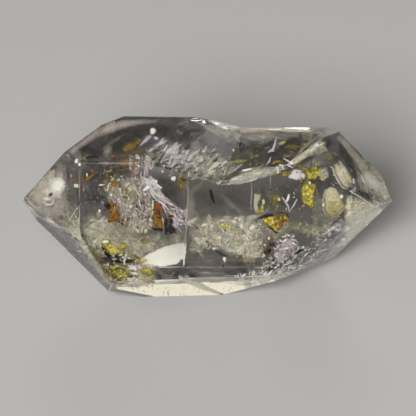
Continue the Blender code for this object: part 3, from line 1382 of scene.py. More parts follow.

# Sealed bodies and bodies of painted light and shade, in the order of the arguments of film, blot, stroke and
# Wisps.
PETROLEUM_POCKETS = SealedGroup("petroleum_pockets", PETROLEUM, (
    blot("leaf", 308.5, 196, 0.86, 1.42, BLADE, 0, 0.9, 0.14, seed=3),
    blot("leaf_crown", 313, 174, 0.92, 0.95, LOBED, -8, 1.1, 0.16),
    blot("leaf_shoulder", 304, 170, 0.75, 0.34, LOBED, 8, 1.2, 0.22),
    blot("crown_side", 284.5, 175, 0.42, 0.36, SHARD, 0, 1.2, 0.25),
    blot("crown_band", 299, 165.5, 0.95, 0.16, SPLINTER, -8, 1, 0.34, 0.8),
    blot("kite_tail", 294, 224, 0.62, 0.2, SPLINTER, 5, 0.9, 0.3, 0.8),
    blot("pale_flake_right", 263, 206, 0.3, 1.05, SPLINTER, 5, 1.6, 0.1),
    blot("pale_flake_foot", 259, 212, 0.35, 0.35, SHARD, 0, 1.6, 0.16),
    blot("olive_flake", 275, 201, 0.46, 0.8, SHARD, 12, 1.9, 0.3),
    blot("little_bar", 226, 226.5, 0.85, 0.22, SPLINTER, 28, 0.9, 0.04),
    blot("low_blur", 247, 261, 1.5, 0.34, OVAL, 2, 4.2, 0.4, 0.6, 3.5),
    blot("valley_blur", 240, 161, 0.95, 0.3, OVAL, -6, 0.5, 0.14, 0.7, 2.5),
    blot("valley_blur_far", 256, 156, 0.85, 0.26, LOBED, -10, 0.5, 0.24, 0.65, 2),
    blot("valley_strip", 275, 162, 0.7, 0.18, SPLINTER, -22, 1.6, 0.24, 0.8),
    blot("shadow_olive", 294, 147, 0.75, 0.36, OVAL, 0, 2, 0.44, 0.7, 2),
    blot("shadow_cream", 282, 142.5, 0.65, 0.24, SPLINTER, -8, 1.6, 0.02, 0.8, 1),
    blot("roof_flake", 130, 147, 1.05, 0.55, OVAL, -22, 2.2, 0.5, 0.9, 2.6),
    blot("roof_flake_tip", 138, 142, 0.72, 0.36, OVAL, -34, 2.2, 0.46, 0.9, 2.2),
    blot("roof_flake_foot", 136, 152, 0.9, 0.22, OVAL, 0, 2.3, 0.4, 0.8, 1.5),
    blot("ledge_olive", 148, 158.5, 0.42, 0.22, SHARD, 0, 1.5, 0.36),
    blot("rim_tint", 99, 132.5, 0.75, 0.36, OVAL, -42, 0.4, 0.26, 0.5, 3),
    film("rust_hook", ((107, 202), (117, 203.5), (120, 208), (118, 213), (120, 219), (121, 224), (114, 221),
        (109, 223), (107, 219), (112, 214), (109, 209)), 1.3, 0.72, ragged=1.2, seed=11),
    stroke("rust_hook_glow", ((118, 206), (114, 212), (110, 219)), 0.26, 1.22, 0.52),
    film("rust_slab", ((155, 201), (159, 201), (163, 208), (164, 213), (160, 211), (158, 215), (154, 213)),
        1.25, 0.76, ragged=0.9, seed=36),
    film("ochre_slab", ((153, 212), (158, 213), (163, 218), (164, 224), (162, 228), (156, 228), (153, 222)),
        1.3, 0.56, ragged=0.9, seed=37),
    film("rust_fan", ((165, 201), (170, 203), (175, 207), (179, 213), (174, 213), (170, 209), (166, 206)),
        1.35, 0.8, ragged=1, seed=38),
    film("kite", ((260, 218), (268, 216), (276, 215), (286, 215), (290, 219), (286, 223), (280, 227),
        (277, 233), (272, 228), (266, 224)), 0.8, 0.14, ragged=1, seed=5),
    Wisps("kite_orange", ((274, 216), (288, 215), (290, 220), (280, 228), (276, 232), (272, 226)), 20, -30,
        40, (0.15, 0.5), (0.1, 0.3), (0.65, 0.8), (0.5, 0.9), (0.7, 1), 0.6, 141),
    Wisps("rust_bit", ((106, 202), (121, 204), (122, 225), (107, 224)), 22, 60, 40, (0.1, 0.45), (0.08, 0.22),
        (1.1, 1.25), (0.5, 1), (0.6, 1), 0.6, 142),
    Wisps("slab_bit", ((153, 201), (162, 203), (176, 208), (180, 214), (165, 226), (154, 228)), 34, 50, 35,
        (0.1, 0.5), (0.06, 0.22), (1.05, 1.25), (0.45, 0.98), (0.6, 1), 0.6, 143),
    Wisps("net_oil", ((106, 172), (124, 170), (150, 186), (152, 228), (124, 230), (108, 200)), 90, 80, 40,
        (0.1, 0.42), (0.07, 0.2), (1, 2.2), (0, 0.95), (0.6, 1), 0.6, 144),
    Wisps("iris_bit", ((103, 172), (112, 170), (123, 174), (122, 186), (112, 194), (104, 190)), 30, -40, 40,
        (0.12, 0.4), (0.08, 0.2), (1.1, 1.4), (0, 0.62), (0.6, 1), 0.8, 161),
    Wisps("side_oil", ((68, 168), (100, 168), (100, 182), (82, 190), (70, 186)), 22, 20, 60, (0.06, 0.4),
        (0.05, 0.12), (0.7, 1.4), (0.1, 0.9), (0.5, 1), 0.8, 145),
    Wisps("foot_oil", ((88, 248), (104, 242), (128, 246), (156, 276), (154, 287), (112, 286)), 80, 32, 30,
        (0.14, 0.7), (0.08, 0.24), (0.6, 1.4), (0, 0.36), (0.5, 1), 0.8, 146),
    Wisps("low_rust", ((264, 234), (280, 232), (284, 248), (276, 266), (262, 262)), 26, 60, 50, (0.12, 0.45),
        (0.06, 0.2), (0.7, 1.1), (0.55, 0.98), (0.6, 1), 0.8, 166),
    Wisps("edge_oil", ((82, 248), (92, 254), (112, 284), (104, 284), (90, 266)), 30, 56, 14, (0.15, 0.7),
        (0.06, 0.18), (0.15, 0.4), (0.05, 0.6), (0.5, 1), 0.8, 167),
    Wisps("leaf_oil", ((286, 172), (318, 162), (324, 178), (314, 208), (302, 206), (302, 182)), 44, 70, 40,
        (0.1, 0.45), (0.08, 0.24), (0.7, 1.2), (0, 0.44), (0.5, 1), 0.8, 147),
    Wisps("middle_oil", ((254, 188), (284, 190), (290, 214), (256, 216)), 22, 80, 30, (0.1, 0.5),
        (0.08, 0.22), (1.5, 2.2), (0, 0.45), (0.4, 0.9), 1, 148),
    Wisps("valley_oil", ((226, 158), (262, 148), (300, 140), (310, 146), (284, 164), (240, 168)), 34, -14, 14,
        (0.15, 0.7), (0.08, 0.22), (0.4, 1.2), (0.05, 0.42), (0.4, 0.9), 1.2, 149),
    Wisps("ledge_oil", ((108, 156), (152, 154), (152, 166), (112, 168)), 44, 4, 16, (0.14, 0.6), (0.06, 0.18),
        (0.9, 1.6), (0.25, 0.98), (0.5, 1), 0.8, 150),
    blot("net_yellow", 128.5, 192, 0.34, 0.36, LOBED, 0, 1.7, 0.22),
    blot("corner_mottle", 181, 180, 0.66, 0.44, LOBED, 20, 1.3, 0.38),
    blot("corner_mottle_tail", 181, 187, 0.46, 0.3, SHARD, 50, 1.4, 0.3),
    blot("foot_flake", 111, 249, 1.4, 0.62, BLADE, 40, 1.2, 0.1, seed=21),
    blot("foot_flake_side", 123.5, 246, 0.55, 0.34, SHARD, 35, 1.1, 0.14),
    blot("foot_green", 142, 260.5, 0.6, 0.26, LOBED, 0, 1, 0.03),
    blot("middle_olive", 145, 241, 0.62, 0.42, OVAL, 0, 2.6, 0.3, 0.85, 2),
    blot("base_cream", 113, 267.5, 0.95, 0.26, SPLINTER, -4, 0.9, 0),
    blot("base_flake", 118, 274, 1.3, 0.62, LOBED, 14, 1, 0.13),
    blot("base_flake_tail", 122, 281.5, 0.6, 0.28, SHARD, 10, 0.9, 0.14),
    blot("base_gold", 147.5, 280.5, 0.85, 0.42, LOBED, 14, 0.9, 0.1),
    stroke("edge_streak", ((89, 252), (93, 261), (98, 268), (104, 276), (110, 281)), 0.11, 0.5, 0.2, 0.8),
    stroke("left_streak", ((84, 182), (88, 178), (92, 175.5), (98, 173)), 0.14, 1.2, 0.76),
    stroke("left_streak_low", ((75, 181), (80, 180.5), (84, 183)), 0.16, 1.2, 0.74),
    blot("iris_yellow", 112.5, 180, 0.36, 0.3, LOBED, 0, 1.32, 0.06, 1, 1),
    blot("iris_orange", 114, 184, 0.5, 0.26, SPLINTER, -40, 1.34, 0.6, 1, 1),
    blot("tip_orange", 32, 197, 0.22, 0.24, OVAL, 0, 0.5, 0.56, 0.8, 1.5),
    blot("edge_dot_yellow", 71, 176, 0.12, 0.2, OVAL, 0, 0.7, 0.06),
    blot("tip_green", 373, 208.5, 0.72, 0.2, SPLINTER, 38, 0.5, 0.26, 0.75, 1),
    blot("lower_brown", 271.5, 244.5, 0.32, 0.26, LOBED, 0, 1.2, 0.88),
    blot("lower_brown_far", 276, 262, 0.48, 0.16, SPLINTER, 0, 0.9, 0.86),
    blot("bevel_rust", 314, 240.5, 0.32, 0.16, SHARD, -35, 0.6, 0.84),
    blot("roof_gold", 309, 134.5, 0.6, 0.14, OVAL, 0, 0.6, 0.2, 0.6, 1),
    blot("tall_olive", 231, 188, 0.26, 0.46, OVAL, 0, 2, 0.45, 0.55, 2),
    blot("dark_zone_olive", 328, 159, 0.55, 0.24, LOBED, 20, 1.2, 0.42),
    blot("long_bubble_olive", 345, 180, 0.3, 0.62, OVAL, -25, 0.9, 0.16, 0.8, 1),
    blot("low_beige", 211, 264, 0.4, 0.4, SHARD, 0, 3, 0.44, 0.6, 1.5),
))

# Bitumen crumbs, with painted shade among them: dark flecks in the cream, bevel, tip and rim areas, and
# shadows.
BITUMEN_AND_SHADE_CRUMBS = SealedGroup("bitumen_crumbs_and_painted_shade", BITUMEN, (
    stroke("kite_ridge", ((259, 218), (264, 216), (270, 214.5), (274, 215)), 0.16, 0.7, 0.1),
    stroke("kite_top", ((277, 213), (283, 212.6), (287, 214), (289.5, 218)), 0.1, 0.72, 0.6),
    stroke("kite_foot", ((268, 226), (272, 229), (276, 233), (280, 232)), 0.1, 0.75, 0.4),
    blot("leaf_corner", 302, 183.5, 0.22, 0.12, SHARD, 0, 0.75, 0.8),
    blot("pearl_hole", 297, 172.3, 0.12, 0.1, OVAL, 0, 0.95, 0),
    blot("pearl_hole_side", 301.5, 172.8, 0.14, 0.07, SPLINTER, 0, 0.95, 0.2),
    stroke("black_streak", ((210.5, 189), (211.5, 195), (212.5, 199), (215, 203.5)), 0.2, 1.6, 0),
    blot("lone_dot", 270, 190, 0.12, 0.12, OVAL, 0, 2, 0),
    blot("rust_hook_core", 107.5, 207, 0.24, 0.34, SHARD, 0, 1.2, 0.05),
    blot("slab_foot", 158.5, 229.5, 0.55, 0.3, WEDGE, -20, 1, 0),
    blot("slab_spike", 166, 226, 0.3, 0.95, WEDGE, 10, 1, 0),
    blot("slab_gap", 171, 219.5, 0.2, 0.6, SPLINTER, -24, 1, 0.2),
    blot("hook_corner", 106.5, 205.5, 0.3, 0.42, SHARD, 10, 1, 0),
    film("slab_heel", ((169, 220), (171, 226), (175, 229), (178, 229), (172, 234), (169, 234), (168, 228)),
        1.2, 0.35, ragged=0.6, seed=40),
    Wisps("fan_gap", ((150, 184), (164, 190), (184, 208), (184, 218), (174, 234), (156, 232), (152, 200)), 60,
        46, 18, (0.08, 0.55), (0.03, 0.1), (0.9, 1.5), (0, 0.9), (0.5, 1), 0.5, 134),
    Wisps("valley_gap", ((150, 150), (170, 144), (214, 150), (238, 164), (222, 182), (186, 174), (150, 162)),
        80, -34, 20, (0.2, 1), (0.06, 0.22), (0.08, 0.4), (0.2, 1), (0.4, 0.9), 1.2, 135),
    # Painted shade: dark flecks in the cream area.
    Wisps("cream_flecks_painted_shade", ((190, 218), (262, 218), (266, 256), (190, 254)), 50, 60, 50, (0.15, 0.7), (0.06, 0.2),
        (2.4, 3.4), (0.3, 1), (0.25, 0.7), 1.4, 136),
    Wisps("front_gap", ((82, 166), (150, 166), (150, 200), (106, 204), (82, 206)), 60, 70, 50, (0.1, 0.6),
        (0.05, 0.16), (0.8, 2.2), (0, 0.6), (0.3, 0.8), 1.2, 137),
    Wisps("cloud_gap", ((262, 240), (300, 232), (306, 256), (284, 272), (260, 272)), 44, -30, 50, (0.06, 0.4),
        (0.04, 0.12), (0.5, 1.2), (0, 0.9), (0.4, 0.9), 0.6, 138),
    # Painted shade over the right tip's facets.
    Wisps("right_tip_flecks_painted_shade", ((346, 166), (384, 186), (384, 204), (352, 236), (330, 214)), 40, 20, 50, (0.1, 0.8),
        (0.03, 0.1), (0.3, 1), (0.1, 0.9), (0.2, 0.7), 0.9, 139),
    # Painted shade: dark flecks along the bottom rim.
    Wisps("rim_flecks_painted_shade", RIM_AREA, 50, 84, 14, (0.1, 0.5), (0.02, 0.08), (0.1, 0.4), (0.3, 1), (0.15, 0.5), 0.8,
        140),
    blot("net_black", 141.5, 203, 0.2, 0.24, SHARD, 0, 1.5, 0),
    blot("net_black_low", 137, 228.5, 0.18, 0.3, SHARD, 0, 1.8, 0),
    blot("corner_black", 183.5, 180, 0.3, 0.14, SHARD, 10, 1.2, 0.1),
    blot("corner_black_left", 178, 178, 0.16, 0.12, SHARD, 0, 1.2, 0.1),
    # Painted shadow under the foot flake.
    blot("foot_flake_painted_shadow", 106, 252, 0.95, 0.3, WEDGE, 38, 1.35, 0.15),
    blot("foot_tip", 117, 256.5, 0.34, 0.26, SHARD, 0, 1.1, 0.25),
    stroke("foot_line", ((114, 260.5), (121, 261.5), (129, 261), (137, 260)), 0.22, 1.2, 0),
    blot("base_dark", 120.5, 281, 0.5, 0.16, SPLINTER, 22, 0.8, 0.1),
    blot("tip_hole", 50.5, 194.5, 0.34, 0.22, OVAL, -40, 0.6, 0.6, 0.8, 1.2),
    blot("edge_dark", 79, 206, 0.12, 0.32, SPLINTER, 0, 0.5, 0),
    blot("cloud_dark", 267.5, 251.5, 0.5, 0.42, LOBED, -30, 1, 0.2, 0.85),
    # Painted shade along the lower right bevel.
    stroke("bevel_line_painted_shade", ((297, 258), (303, 255), (309, 252), (315, 247)), 0.26, 0.5, 0.1, 0.85),
    # Painted shadow under the ledge, in bitumen black.
    blot("ledge_shadow", 92, 157.5, 0.85, 0.22, SPLINTER, 0, 0.9, 0, 0.9),
    # Painted shade: a dark triangle on the right tip.
    film("right_tip_triangle_painted_shade", ((353, 190), (362, 188), (372, 196), (370, 203), (360, 199)), 0.5, 0.3, 0.6, 4,
        seed=17),
    blot("low_black", 223, 266.5, 0.12, 0.22, SPLINTER, 0, 1.2, 0.2),
    stroke("lower_line", ((215, 250), (221, 254), (227, 256)), 0.12, 1.4, 0.4),
    # Painted shade between the bevel's sparkles.
    Wisps("bevel_flecks_painted_shade", ((262, 270), (300, 254), (336, 228), (342, 238), (312, 264), (272, 280)), 100, -36, 16,
        (0.2, 0.9), (0.07, 0.2), (0.06, 0.2), (0, 0.8), (0.8, 1), 0.4, 131),
    Wisps("foot_gap", ((92, 244), (118, 256), (140, 264), (138, 282), (114, 284), (98, 262)), 46, 30, 30,
        (0.12, 0.7), (0.06, 0.16), (0.5, 1.4), (0, 0.7), (0.6, 1), 0.5, 132),
    Wisps("net_gap", ((108, 196), (150, 190), (182, 212), (176, 232), (124, 228)), 80, 70, 45, (0.1, 0.42),
        (0.06, 0.16), (1, 2.2), (0, 0.7), (0.6, 1), 0.4, 133),
))

# Healed crack films, with painted highlights among them: a bright sheet, glints, beads and white spots.
CRACK_AND_HIGHLIGHT_FILMS = SealedGroup("healed_crack_and_painted_highlight_films", HEALED_CRACK, (
    # Painted highlight: a white sheet where light shines through from behind.
    film("painted_highlight_sheet", ((139, 262), (146, 255), (156, 250), (165, 246), (185, 242), (186, 257), (177, 264),
        (165, 267), (148, 267)), 2.6, 0, thick=0.05 * MM, ragged=0.7, seed=2),
    film("pearl", ((288, 178), (291, 172), (294, 169.5), (301, 170), (303, 173), (306, 175), (305, 179),
        (296, 180)), 1, 0.55, thick=0.14 * MM, ragged=0.6, seed=4, one_facet=False),
    blot("pale_flake", 256.5, 204, 0.42, 1.25, BLADE, 6, 1.6, 0.4, 0.9, 1),
    blot("peach_spot", 263.5, 202, 0.16, 0.36, OVAL, -15, 1.4, 0.16),
    # Painted highlight on the olive flake.
    blot("peach_painted_highlight", 279, 199.5, 0.15, 0.22, OVAL, 0, 1.6, 0.2),
    # Painted highlight: a round white bead.
    blot("roof_bead", 153, 131, 0.46, 0.46, OVAL, 0, 2, 0.02, 1, 1, thick=0.4 * MM),
    blot("roof_bead_side", 156, 138, 0.34, 0.26, OVAL, 20, 2, 0.62, 0.85, 1.5),
    stroke("roof_bead_trail", ((152, 135), (148, 138), (144, 142), (139, 147)), 0.3, 2.1, 0.66, 0.6, 1.5),
    blot("roof_glint", 181, 133, 0.36, 0.2, OVAL, -20, 2, 0.9, 0.5, 1.5),
    film("wedge", ((143, 178), (150, 177), (156, 181), (161, 189), (162, 197), (156, 198), (150, 193),
        (145, 187)), 1.15, 0.58, 0.95, 3, seed=6, ragged=1.4),
    film("fan_web", ((158, 198), (168, 201), (178, 207), (185, 212), (181, 224), (176, 228), (170, 216),
        (162, 208)), 1.5, 0.64, 0.8, 2, seed=53, ragged=1.4),
    # Painted highlight.
    blot("wedge_glint", 155.5, 182, 0.26, 0.26, SHARD, 0, 1.1, 0),
    stroke("wedge_left", ((143, 191), (147, 188), (151, 186)), 0.2, 1.1, 0.02),
    stroke("fan_spine", ((158, 197), (165, 201), (172, 205), (179, 210), (185, 212)), 0.15, 1.2, 0.62, 0.9),
    stroke("fan_two", ((154, 200), (158, 200.5), (163, 204), (168, 209), (174, 214)), 0.13, 1.2, 0.6),
    stroke("fan_three", ((169, 214), (173, 218), (177, 222), (179, 226)), 0.3, 1.25, 0.62, 0.8),
    stroke("fan_edge", ((153, 200), (152.5, 206), (153, 211), (152, 216)), 0.12, 1.3, 0.3),
    stroke("fan_low", ((162, 217), (163.5, 222), (164, 229)), 0.09, 1.15, 0.5),
    stroke("veil_one", ((136, 164), (137.5, 170), (136.5, 175)), 0.34, 1.6, 0.6, 0.7),
    stroke("veil_two", ((146, 164), (147, 170), (148, 176)), 0.26, 1.5, 0.55, 0.8),
    stroke("veil_three", ((141, 178), (143, 183), (139.5, 188), (139, 195)), 0.12, 1.5, 0.5, 0.85),
    stroke("veil_four", ((133, 184), (136, 190), (139, 195), (142, 200)), 0.09, 1.5, 0.45),
    blot("veil_bead", 138, 166.5, 0.26, 0.2, OVAL, -20, 1.3, 0.02),
    blot("net_white", 130.5, 206.5, 0.24, 0.24, SHARD, 0, 1.5, 0.02),
    stroke("net_line", ((139, 200), (141, 207), (143, 214)), 0.1, 1.5, 0.6),
    stroke("net_line_low", ((133, 208), (136, 213), (135, 220)), 0.14, 1.7, 0.45, 0.8),
    blot("spot_a", 99.5, 211, 0.16, 0.2, OVAL, 0, 0.9, 0),
    blot("spot_b", 111, 195, 0.16, 0.18, OVAL, 0, 1.2, 0.1),
    blot("spot_e", 162.5, 171.5, 0.14, 0.16, OVAL, 0, 1, 0.6),
    blot("spot_g", 77, 160, 0.16, 0.18, OVAL, 0, 0.3, 0),
    blot("spot_h", 79.5, 164.5, 0.16, 0.2, OVAL, 0, 0.3, 0),
    blot("bar_pale", 101.5, 185, 0.42, 0.11, SPLINTER, 3, 1, 0.5),
    blot("iris_red", 118.5, 180, 0.2, 0.2, OVAL, 0, 1.3, 0.2, 0.8, 1),
    # Painted highlight.
    blot("corner_glint", 173.5, 179, 0.36, 0.36, SHARD, -30, 1.1, 0.05),
    blot("dot_green", 77.5, 186, 0.13, 0.24, OVAL, 0, 0.6, 0.3),
    blot("dot_cream", 87, 175, 0.12, 0.22, OVAL, 0, 0.8, 0.2),
    blot("dot_blue", 68, 189, 0.16, 0.2, OVAL, 0, 0.5, 1, 0.8, 1),
    blot("tip_cloud", 54, 190, 1.55, 1.5, LOBED, -30, 0.8, 0.16, 1, 6),
    blot("tip_core", 57, 186, 1.05, 1.15, OVAL, 25, 0.7, 0, 1, 4.5),
    blot("tip_pale_low", 46, 199, 0.62, 0.4, LOBED, 20, 0.7, 0.1, 0.9, 2),
    stroke("tip_tail", ((42, 201), (47, 205), (52, 204), (56, 197)), 0.22, 0.9, 0.15, 0.9, 1.5),
    stroke("tip_streak", ((42, 193), (44, 198), (45, 203)), 0.16, 1.2, 0.25, 0.7, 1.2),
    *(stroke("net_edge", path, 0.075, 0.35, 0.36, 0.7, 0.5) for path in (
        ((80, 203), (75, 211), (70, 219), (65, 227)), ((78, 205), (78.5, 215), (78, 226), (79, 240)),
        ((65, 227), (70, 230), (75, 236), (80, 241)), ((70, 219), (74, 224), (78, 227)),
        ((74, 212), (76, 217), (77.5, 220)),
    )),
    stroke("crescent", ((93, 222), (95, 227), (101, 229.5), (106, 226)), 0.16, 1.8, 0.3, 0.7, 1),
    blot("crescent_side", 92.5, 226, 0.24, 0.4, OVAL, 10, 1.8, 0.25, 0.7, 1.5),
    blot("foot_white", 105.5, 242, 0.42, 0.22, SPLINTER, 15, 1, 0),
    stroke("foot_wisp", ((126, 254), (125, 259), (124, 264)), 0.16, 1, 0.6),
    blot("foot_pearl", 135, 268, 0.9, 0.44, LOBED, 6, 0.9, 0.56),
    blot("foot_pearl_low", 134, 273.5, 0.5, 0.22, LOBED, 12, 0.8, 0.1),
    blot("foot_pearl_base", 133, 284, 0.8, 0.34, LOBED, 4, 0.5, 0.12, 0.8),
    stroke("seam_line", ((187.5, 178), (188, 195), (187, 215), (186, 235), (184.5, 256)), 0.11, 0.25, 0.42,
        0.5, 0.8),
    stroke("faint_line", ((251, 180), (252, 190), (251, 200), (251, 214)), 0.07, 0.9, 0.72, 0.45),
    stroke("edge_line", ((80, 166), (79.5, 190), (79, 205)), 0.06, 0.2, 0.5, 0.35),
    stroke("curl", ((276, 138), (275, 144), (273, 150), (267, 153)), 0.14, 1, 0.7),
    stroke("curl_low", ((271, 157), (269, 161), (266, 166)), 0.11, 0.9, 0.72),
    stroke("curl_far", ((283, 158), (288, 161), (292, 163)), 0.09, 0.7, 0.62),
    # Glints: small painted highlights, white and lilac.
    blot("glint_a", 277.3, 168.5, 0.16, 0.28, OVAL, 0, 0.4, 0),
    stroke("glint_b", ((279, 166.5), (282, 167), (284, 170)), 0.1, 0.4, 0.1),
    blot("glint_c", 291.5, 163, 0.2, 0.18, OVAL, 0, 0.3, 0),
    blot("glint_d", 233.7, 150, 0.15, 0.17, OVAL, 0, 0.5, 0),
    blot("glint_e", 253, 227, 0.2, 0.28, OVAL, 0, 1, 0),
    blot("glint_f", 269, 238.5, 0.14, 0.2, OVAL, 0, 0.9, 0),
    blot("glint_g", 265, 245, 0.12, 0.13, OVAL, 0, 0.9, 0),
    blot("glint_h", 303, 247.5, 0.22, 0.16, OVAL, 0, 0.6, 0),
    blot("glint_k", 309.8, 183, 0.12, 0.22, OVAL, -20, 0.6, 0),
    blot("glint_l", 341.5, 196.5, 0.22, 0.28, LOBED, 0, 0.5, 0),
    blot("glint_m", 347.8, 207.5, 0.16, 0.16, OVAL, 0, 0.5, 0.05),
    blot("glint_n", 354, 181, 0.12, 0.36, OVAL, -10, 0.4, 0.6),
    blot("glint_o", 355, 188.7, 0.14, 0.14, OVAL, 0, 0.4, 0.6),
    blot("glint_p", 370, 214, 0.14, 0.14, OVAL, 0, 0.4, 0.1),
    blot("glint_r", 316, 145, 0.36, 0.16, OVAL, -6, 0.3, 0),
    stroke("glint_s", ((289, 194), (288, 199), (286, 203)), 0.16, 1.3, 0.02),
    stroke("glint_t", ((282, 197), (285, 201), (288, 206), (290, 213)), 0.12, 1.3, 0.62, 0.8),
    stroke("glint_u", ((297, 199), (294, 205), (290, 211)), 0.1, 1.3, 0.66, 0.8),
    blot("low_ice", 224.5, 260, 0.24, 0.44, SHARD, -15, 0.9, 0.1, 1, 0.8),
    blot("low_ice_side", 239.5, 219, 0.3, 0.36, OVAL, 0, 3.2, 0.1, 0.8, 2),
    blot("ledge_bright", 247, 169.5, 0.85, 0.15, SPLINTER, -8, 0.25, 0.08),
    film("valley_patch", ((202, 176), (207, 169), (212, 163), (217, 158), (222, 160), (219, 167), (213, 175),
        (208, 178)), 0.4, 0.25, 0.85, 2, seed=12, one_facet=False),
    # Painted highlights on the right tip.
    film("tip_glow", ((362, 171), (370, 172), (379, 179), (384, 189), (377, 192), (368, 188), (363, 181)),
        0.12, -0.1, 0.95, 4.5, seed=14),
    blot("tip_glow_low", 386, 197, 0.28, 0.4, OVAL, 20, 0.1, -0.1, 1, 2),
    # Painted highlights on the right low face.
    blot("low_face_first_painted_highlight", 348, 229, 0.6, 0.46, LOBED, -30, 0.08, -0.1, 1, 2),
    blot("low_face_second_painted_highlight", 343.5, 240, 0.44, 0.4, LOBED, 0, 0.08, -0.1, 1, 1.8),
    blot("bevel_violet", 319, 255, 0.62, 0.22, SPLINTER, -38, 0.6, 0.86, 0.7, 1.2),
    film("cloud", ((277, 248), (283, 240), (290, 236), (296, 243), (300, 251), (296, 261), (286, 267),
        (276, 262), (273, 255)), 1.2, 0.62, 0.75, 3, ragged=2, seed=15, one_facet=False),
))

BUBBLE_WALLS = SealedGroup("gas_bubbles", GAS_BUBBLE, (
    film("long_gas", ((333, 164), (338, 163), (344, 169), (349, 178), (351, 187), (346, 189), (340, 184),
        (335, 175)), 0.8, 0.36, 0.58, 4, thick=0.3 * MM, seed=33),
    film("oval_gas", ((325, 189), (330, 185.5), (337, 188), (341, 194), (342.5, 202.5), (334, 203.5),
        (325, 203.5), (323, 196)), 0.9, 0.46, 0.6, 2.5, thick=0.3 * MM, seed=31),
    film("oval_oil", ((323, 200.5), (333, 201), (343, 199.5), (346, 206), (340, 214), (332, 217.5),
        (325, 213)), 0.92, 0.68, 0.7, 2, thick=0.3 * MM, seed=32),
    stroke("oval_rim_left", ((326, 189), (323.5, 195), (322.5, 202), (323, 209), (326, 215), (331, 217.5)),
        0.07, 0.85, 0.46, 0.42),
    stroke("oval_rim_right", ((331, 217.5), (338, 215.5), (344, 209), (347, 204)), 0.07, 0.85, 0.46, 0.4),
    stroke("long_rim_left", ((332, 166), (334, 173), (338, 181), (343, 188), (349, 190)), 0.15, 0.7, 0.32,
        0.5, 0.8),
    stroke("long_rim_right", ((335, 163), (341, 167), (347, 175), (351, 184)), 0.11, 0.7, 0.32, 0.5),
    blot("bubble_left", 323.5, 205, 0.13, 0.2, OVAL, 0, 0.8, 0),
))


class SpeckTree:
    """Geometry Nodes tree that strews closed specks over a sheet."""

    NAME = "strewn_specks"
    INPUTS = {
        "Geometry": "Geometry", "Density": "Float", "Smallest": "Float", "Largest": "Float",
        "Flatness": "Float", "Tone Low": "Float", "Tone High": "Float", "Cluster Size": "Float", "Seed": "Int",
        "Material": "Material",
    }

    @classmethod
    def tree(cls) -> NodeTree:
        """Builds the tree once.

        Returns:
            The tree, with the inputs that INPUTS names.
        """
        if cls.NAME in bpy.data.node_groups:
            return bpy.data.node_groups[cls.NAME]
        tree = new_tree(cls.NAME, "GeometryNodeTree", cls.INPUTS, {"Geometry": "Geometry"})
        graph = Graph(tree)
        given = graph.add("NodeGroupInput").outputs
        seed = given["Seed"]
        clusters = graph.add(
            "ShaderNodeTexNoise", Scale=graph.math("DIVIDE", 1.0, given["Cluster Size"]), Detail=2.0
        )
        thick = graph.math("MULTIPLY", graph.spread(clusters.outputs[0], 0.40, 0.68), given["Density"])
        strewn = graph.add(
            "GeometryNodeDistributePointsOnFaces", distribute_method="RANDOM", Mesh=given["Geometry"],
            Density=thick, Seed=seed,
        )
        ball = graph.add("GeometryNodeMeshIcoSphere", Radius=1.0, Subdivisions=1)
        size = cls.random(graph, given["Smallest"], given["Largest"], seed, 1)
        long = graph.math("MULTIPLY", size, cls.random(graph, 1.0, 2.2, seed, 2))
        thin = graph.math("MULTIPLY", size, given["Flatness"])
        shape = graph.add("ShaderNodeCombineXYZ", X=long, Y=size, Z=thin)
        turn = graph.add("FunctionNodeRandomValue", data_type="FLOAT_VECTOR", Seed=seed)
        turn.inputs[0].default_value = (0.0, 0.0, 0.0)
        turn.inputs[1].default_value = (math.tau, math.tau, math.tau)
        rotation = graph.add("FunctionNodeEulerToRotation")
        graph.put(rotation.inputs[0], turn.outputs[0])
        placed = graph.add(
            "GeometryNodeInstanceOnPoints", Points=strewn.outputs["Points"], Instance=ball.outputs["Mesh"],
            Rotation=rotation.outputs[0], Scale=shape.outputs[0],
        )
        tone = cls.random(graph, given["Tone Low"], given["Tone High"], seed, 3)
        stored = placed.outputs["Instances"]
        for label, value in zip(SHELL_LAYERS, (tone, 1.0, 1.0)):
            stored = graph.add(
                "GeometryNodeStoreNamedAttribute", data_type="FLOAT", domain="INSTANCE", Geometry=stored,
                Name=label, Value=value,
            ).outputs["Geometry"]
        plain = graph.add("GeometryNodeRealizeInstances", Geometry=stored).outputs[0]
        dressed = graph.add("GeometryNodeSetMaterial", Geometry=plain, Material=given["Material"])
        graph.add("NodeGroupOutput", Geometry=dressed.outputs[0])
        return tree

    @staticmethod
    def random(graph: Graph, low: object, high: object, seed: object, row: int) -> NodeSocket:
        """Gives a random value for each speck.

        Args:
            graph: the tree's graph.
            low: lowest value.
            high: highest value.
            seed: the tree's seed.
            row: which of the tree's random rows it is.

        Returns:
            The value.
        """
        node = graph.add("FunctionNodeRandomValue", data_type="FLOAT")
        graph.put(node.inputs[2], low)
        graph.put(node.inputs[3], high)
        graph.put(node.inputs["Seed"], graph.math("ADD", seed, float(row * 101)))
        return node.outputs[1]


